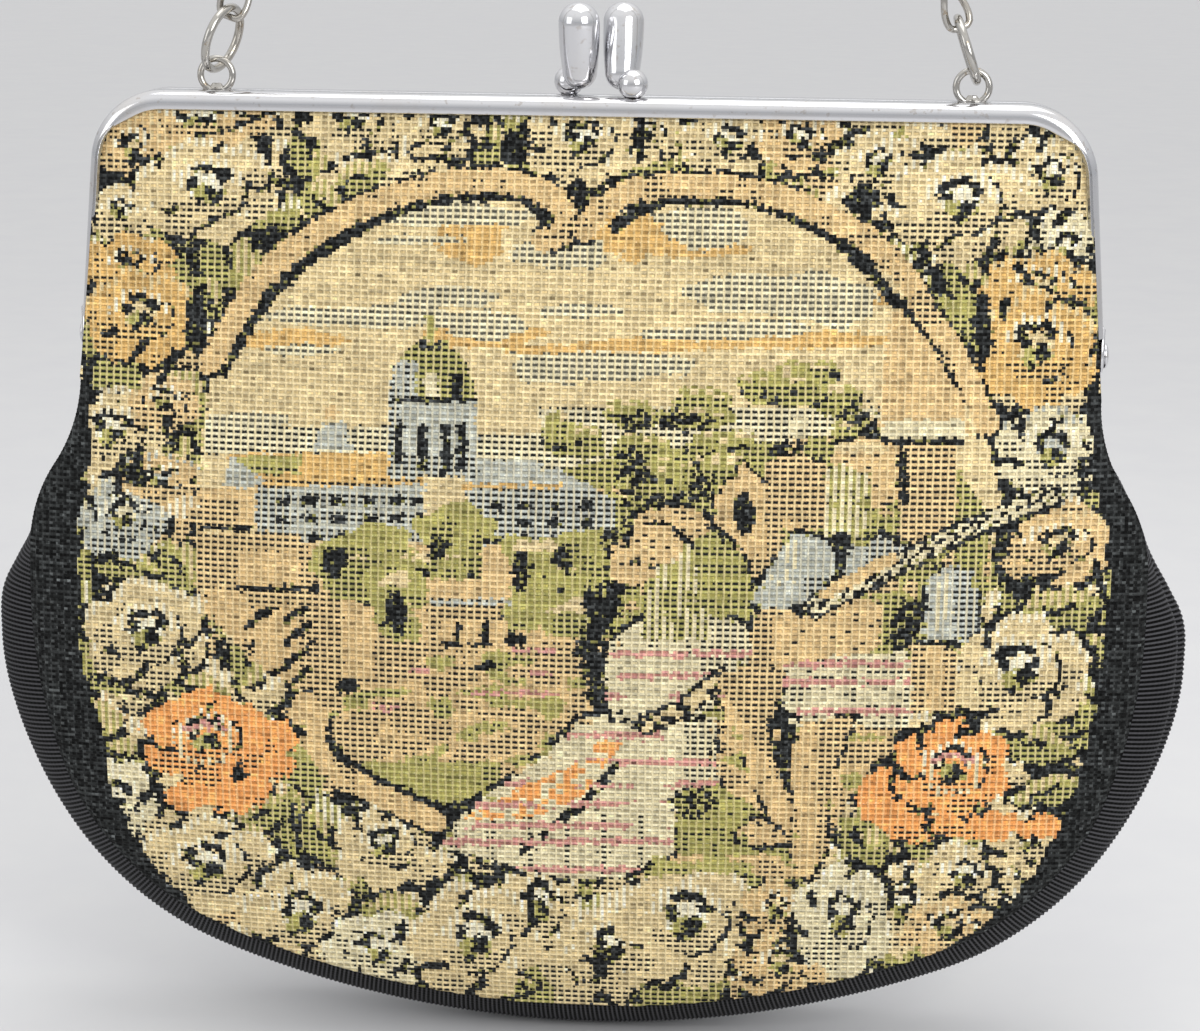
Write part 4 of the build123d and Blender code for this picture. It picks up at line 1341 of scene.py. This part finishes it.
def clasp_knob(side):
    """Leaning bullet on a ball: a round crown, a long taper to a small round foot."""
    foot = knob_radius * knob_foot_share
    turn = np.linspace(-pi / 2, 0, 14)
    low = np.stack([foot * np.cos(turn), foot + foot * np.sin(turn)], -1)
    turn = np.linspace(0, pi / 2, 20)
    high = np.stack([knob_radius * np.cos(turn), knob_length - knob_radius + knob_radius * np.sin(turn)], -1)
    t = np.linspace(0, 1, 12)[1:-1, None]
    taper = low[-1] + t * (high[0] - low[-1])
    taper[:, 0] += knob_belly * np.sin(pi * t[:, 0])
    points, quads = revolved(np.concatenate([low, taper, high]), 56)
    points = turned_about(points - np.array([0, 0, knob_length / 2]), (1, 0, 0), -side * knob_lean)
    x = clasp_shift + side * (knob_radius + knob_gap / 2)
    points += np.array([x, side * knob_reach, frame_top + knob_lift + knob_length / 2])
    turn = np.linspace(-pi / 2, pi / 2, 24)
    ball = np.stack([ball_radius * np.cos(turn), ball_radius * np.sin(turn)], -1)
    ball_points, ball_quads = revolved(ball, 40)
    ball_points[:, 2] = np.maximum(ball_points[:, 2], ball_sink - ball_radius)
    ball_z = frame_top + ball_radius - ball_sink
    ball_points += np.array([x + side * ball_offset, -side * half_middle, ball_z])
    return many([(points, quads), (ball_points, ball_quads)])


def eyelet(mirrored):
    """Round wire ring stood on the frame in a small fillet of solder."""
    turn = np.linspace(0, 2 * pi, 48, endpoint=False)
    radius = eyelet_radius - eyelet_wire / 2
    path = np.stack([radius * np.cos(turn), np.zeros_like(turn), radius * np.sin(turn)], -1)
    path += np.array([eyelet_reach, eyelet_y, eyelet_z])
    ring = tube(path, eyelet_wire / 2, 14)
    ring[0][:, 2] = np.maximum(ring[0][:, 2], frame_top - 0.05)
    lift = np.linspace(0, 1, 8)
    fillet = np.stack([solder_foot - (solder_foot - solder_neck) * np.sqrt(lift), solder_height * lift], -1)
    fillet = np.concatenate([[[0, 0]], fillet, [[0, solder_height]]])
    points, quads = revolved(fillet, 28)
    points = points * np.array([1.25, 0.5, 1.0]) + np.array([eyelet_reach, eyelet_y, frame_top])
    points, quads = many([ring, (points, quads)])
    return points * np.array([mirrored, 1, 1]), quads


ring_path = ring_radius - ring_wire / 2
ring_drop = hypot(eyelet_wire, eyelet_wire) / 2 + ring_wire / 2 + ring_play


def jump_ring(side, turn, lean):
    """Open ring hung in an eyelet, leaning with the chain."""
    angle = np.linspace(0, 2 * pi, 64, endpoint=False)
    path = np.stack([np.zeros_like(angle), ring_path * np.cos(angle), ring_path * np.sin(angle)], -1)
    path[:, 2] += ring_path - ring_drop
    path = turned_about(turned_about(path, (0, 0, 1), -turn), (0, 1, 0), lean)
    return tube(path + np.array([side * eyelet_reach, eyelet_y, pivot_z]), ring_wire / 2, 16)


def link_form():
    """Curb link along Z: an oval of round wire whose corners leave its middle plane by turns."""
    turn = np.linspace(0, 2 * pi, 40, endpoint=False)
    half_span = (link_length - link_wire) / 2
    half_long = half_span / cos(pi / 8)
    half_wide = (link_width - link_wire) / 2
    squared = 1 / np.maximum(np.abs(np.cos(turn)), np.abs(np.sin(turn))) ** 0.18
    path = np.stack([
        half_wide * np.sin(turn) * squared,
        link_skew * np.sin(2 * turn),
        np.clip(half_long * np.cos(turn) * squared, -half_span, half_span),
    ], -1)
    return tube(path, link_wire / 2, 10)


def chain_halves():
    """All links, set on the two leaning runs and the bend between them, as the source sets them."""
    lean = radians(chain_lean)
    rise = 2 * ring_path - ring_drop
    foot_x, foot_z = -eyelet_reach + rise * sin(lean), pivot_z + rise * cos(lean)
    run = (-foot_x - chain_bend_radius * cos(lean)) / sin(lean)
    bend_z = foot_z + run * cos(lean) - chain_bend_radius * sin(lean)
    total = 2 * (run + chain_bend_radius * (pi / 2 - lean))
    first = (link_length - link_wire) / 2 - (ring_wire + link_wire) / 2 - ring_play
    pitch = link_length - 2 * link_wire - link_play
    count = round((total - 2 * first) / pitch) + 1
    along = first + np.arange(count) * (total - 2 * first) / (count - 1)
    side = np.where(along > total / 2, 1.0, -1.0)
    reach = np.minimum(along, total - along)
    slope = np.where(reach < run, lean, lean + (reach - run) / chain_bend_radius)
    x = np.where(reach < run, -foot_x - reach * sin(lean), chain_bend_radius * np.cos(slope))
    z = np.where(reach < run, foot_z + reach * cos(lean), bend_z + chain_bend_radius * np.sin(slope))
    zero = np.zeros(count)
    heading = np.stack([np.sin(slope), zero, -side * np.cos(slope)], -1)
    first_roll = radians(left_ring_turn - link_turn / 2)
    whole_roll = radians(link_turn - left_ring_turn)
    roll = first_roll + whole_roll * np.arange(count) / (count - 1)
    sideways = np.array([0.0, 1.0, 0.0])
    across = np.cross(heading, sideways) * np.cos(roll)[:, None] + sideways * np.sin(roll)[:, None]
    deep = np.cross(heading, across)
    middle = np.stack([side * x, np.full(count, eyelet_y), z], -1)
    points, quads = link_form()
    axes = np.stack([across, deep, heading], 1)
    links = np.einsum("pk,nkj->npj", points, axes) + middle[:, None]
    half = (count + 1) // 2
    return [many([(link, quads) for link in part]) for part in (links[:half], links[half:])]


def dress(made, body, slot, *nodes):
    """Puts a piece on its body in place of its nodes."""
    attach(made, body)
    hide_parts(*nodes)
    return made


def bent(made, node, lag=0.0):
    """Front cloth: its place is baked into its points and the node it replaces is hidden; the bend between
    bend_start and bend_end is worked out but not applied.

    The lag moves the bend's ends up the cloth, which changes nothing while the bend is unused.
    """
    bend = np.array([bend_start, bend_end])
    heading = bend[1] - bend[0]
    bend = bend + lag * heading / np.linalg.norm(heading)
    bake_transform(made)
    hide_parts(node)
    return made


def build():
    """All pieces with their finishes; all but the two front cloths are put on their bodies."""
    frame_plate = plated_finish("frame_plate", 0.28, (0.83, 0.83, 0.84))
    chain_plate = plated_finish("chain_plate", 0.6, (0.70, 0.69, 0.67))
    twill = twill_finish("back_twill", (0.20, 0.20, 0.215), 0.0013)
    satin = satin_finish()
    front = bent(front_tapestry(tapestry_finish()), "front_panel")
    back = dress(plain_sheet("back_cloth_panel", twill, 1, 0.0, 0.0), "bag", "back_cloth", "back_panel")
    ribbon = dress(gusset(grosgrain_finish()), "bag", "ribbon", "gusset_ribbon")
    inner = panel_thickness + cloth_gap
    front_inside = plain_sheet("front_lining_cloth", satin, -1, inner, lining_inset)
    bent(front_inside, "front_lining", lining_bend_lag)
    back_inside = plain_sheet("back_lining_cloth", satin, 1, inner, lining_inset)
    dress(back_inside, "bag", "lining_cloth", "back_lining")
    plated = [
        ("front_frame_half", channel(-1), "front_half", "front_frame"),
        ("back_frame_half", channel(1), "bag", "back_frame"),
        ("left_rivet", rivet(-1), "bag", "left_hinge_rivet"),
        ("right_rivet", rivet(1), "bag", "right_hinge_rivet"),
        ("front_knob", clasp_knob(1), "front_half", "front_clasp_knob"),
        ("back_knob", clasp_knob(-1), "bag", "back_clasp_knob"),
    ]
    for name, shape, body, node in plated:
        dress(piece(name, shape, frame_plate, closed=True), body, "frame_metal", node)
    left_links, right_links = chain_halves()
    wires = [
        ("left_eyelet_ring", eyelet(-1), "bag", "left_chain_eyelet"),
        ("right_eyelet_ring", eyelet(1), "bag", "right_chain_eyelet"),
        ("left_ring", jump_ring(-1, left_ring_turn, chain_lean), "chain_handle", "left_jump_ring"),
        ("right_ring", jump_ring(1, 0, -chain_lean), "chain_handle", "right_jump_ring"),
        ("left_links", left_links, "chain_handle", "left_chain"),
        ("right_links", right_links, "chain_handle", "right_chain"),
    ]
    for name, shape, body, node in wires:
        dress(piece(name, shape, chain_plate, closed=True), body, "chain_metal", node)
    paper = paper_finish()
    for node in ("front_packing_cord", "back_packing_cord"):
        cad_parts[node].data.materials.clear()
        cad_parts[node].data.materials.append(paper)


def studio():
    """Pale floor, a soft key from the upper right, a fill from the left and an even sky."""
    floor_reach = 30.0
    mesh = bpy.data.meshes.new("floor")
    corners = [(-floor_reach, -floor_reach), (floor_reach, -floor_reach), (floor_reach, floor_reach)]
    corners += [(-floor_reach, floor_reach)]
    mesh.from_pydata([(x, y, ground_z) for x, y in corners], [], [(0, 1, 2, 3)])
    floor = bpy.data.objects.new("floor", mesh)
    bpy.context.scene.collection.objects.link(floor)
    pale = Finish("pale_floor", Roughness=0.75)
    grain = pale.noise(pale.place(), 40.0, 3.0, 0.6)
    pale.set(Base_Color=pale.mix(grain, rgba((0.78, 0.78, 0.79)), rgba((0.81, 0.81, 0.81))))
    mesh.materials.append(pale.material)
    world = bpy.data.worlds.new("studio")
    bpy.context.scene.world = world
    world.use_nodes = True
    nodes, links = world.node_tree.nodes, world.node_tree.links
    height = nodes.new("ShaderNodeSeparateXYZ")
    links.new(nodes.new("ShaderNodeTexCoord").outputs["Generated"], height.inputs[0])
    ramp = nodes.new("ShaderNodeValToRGB")
    ramp.color_ramp.elements[0].color = (0.52, 0.53, 0.545, 1.0)
    ramp.color_ramp.elements[1].color = (1.0, 1.0, 1.0, 1.0)
    ramp.color_ramp.elements[0].position, ramp.color_ramp.elements[1].position = 0.05, 0.7
    links.new(height.outputs[2], ramp.inputs[0])
    links.new(ramp.outputs[0], nodes["Background"].inputs[0])
    nodes["Background"].inputs[1].default_value = 1.1
    lamps = [
        ("key", (430, -560, 400), 420, 2.75),
        ("fill", (-560, -400, 330), 380, 0.6),
        ("top", (40, 60, 720), 520, 1.2),
    ]
    aim = Vector(placed((0.0, 0.0, 90.0)))
    for name, where, size, power in lamps:
        lamp = bpy.data.lights.new(name, "AREA")
        lamp.size = size * metre
        lamp.energy = power
        made = bpy.data.objects.new(name, lamp)
        made.location = placed(where)
        made.rotation_euler = (aim - made.location).to_track_quat("-Z", "Y").to_euler()
        bpy.context.scene.collection.objects.link(made)
    lens = bpy.data.cameras.new("photo_camera")
    lens.sensor_fit = "HORIZONTAL"
    lens.angle = camera_view
    lens.clip_start, lens.clip_end = 0.01, 60.0
    camera = bpy.data.objects.new("photo_camera", lens)
    turn = Matrix(np.stack([camera_right, camera_up, -forward], -1).tolist())
    camera.matrix_world = Matrix.Translation(Vector(placed(camera_eye))) @ turn.to_4x4()
    bpy.context.scene.collection.objects.link(camera)
    bpy.context.scene.camera = camera
    bpy.context.scene.view_settings.view_transform = "Standard"


build()
studio()
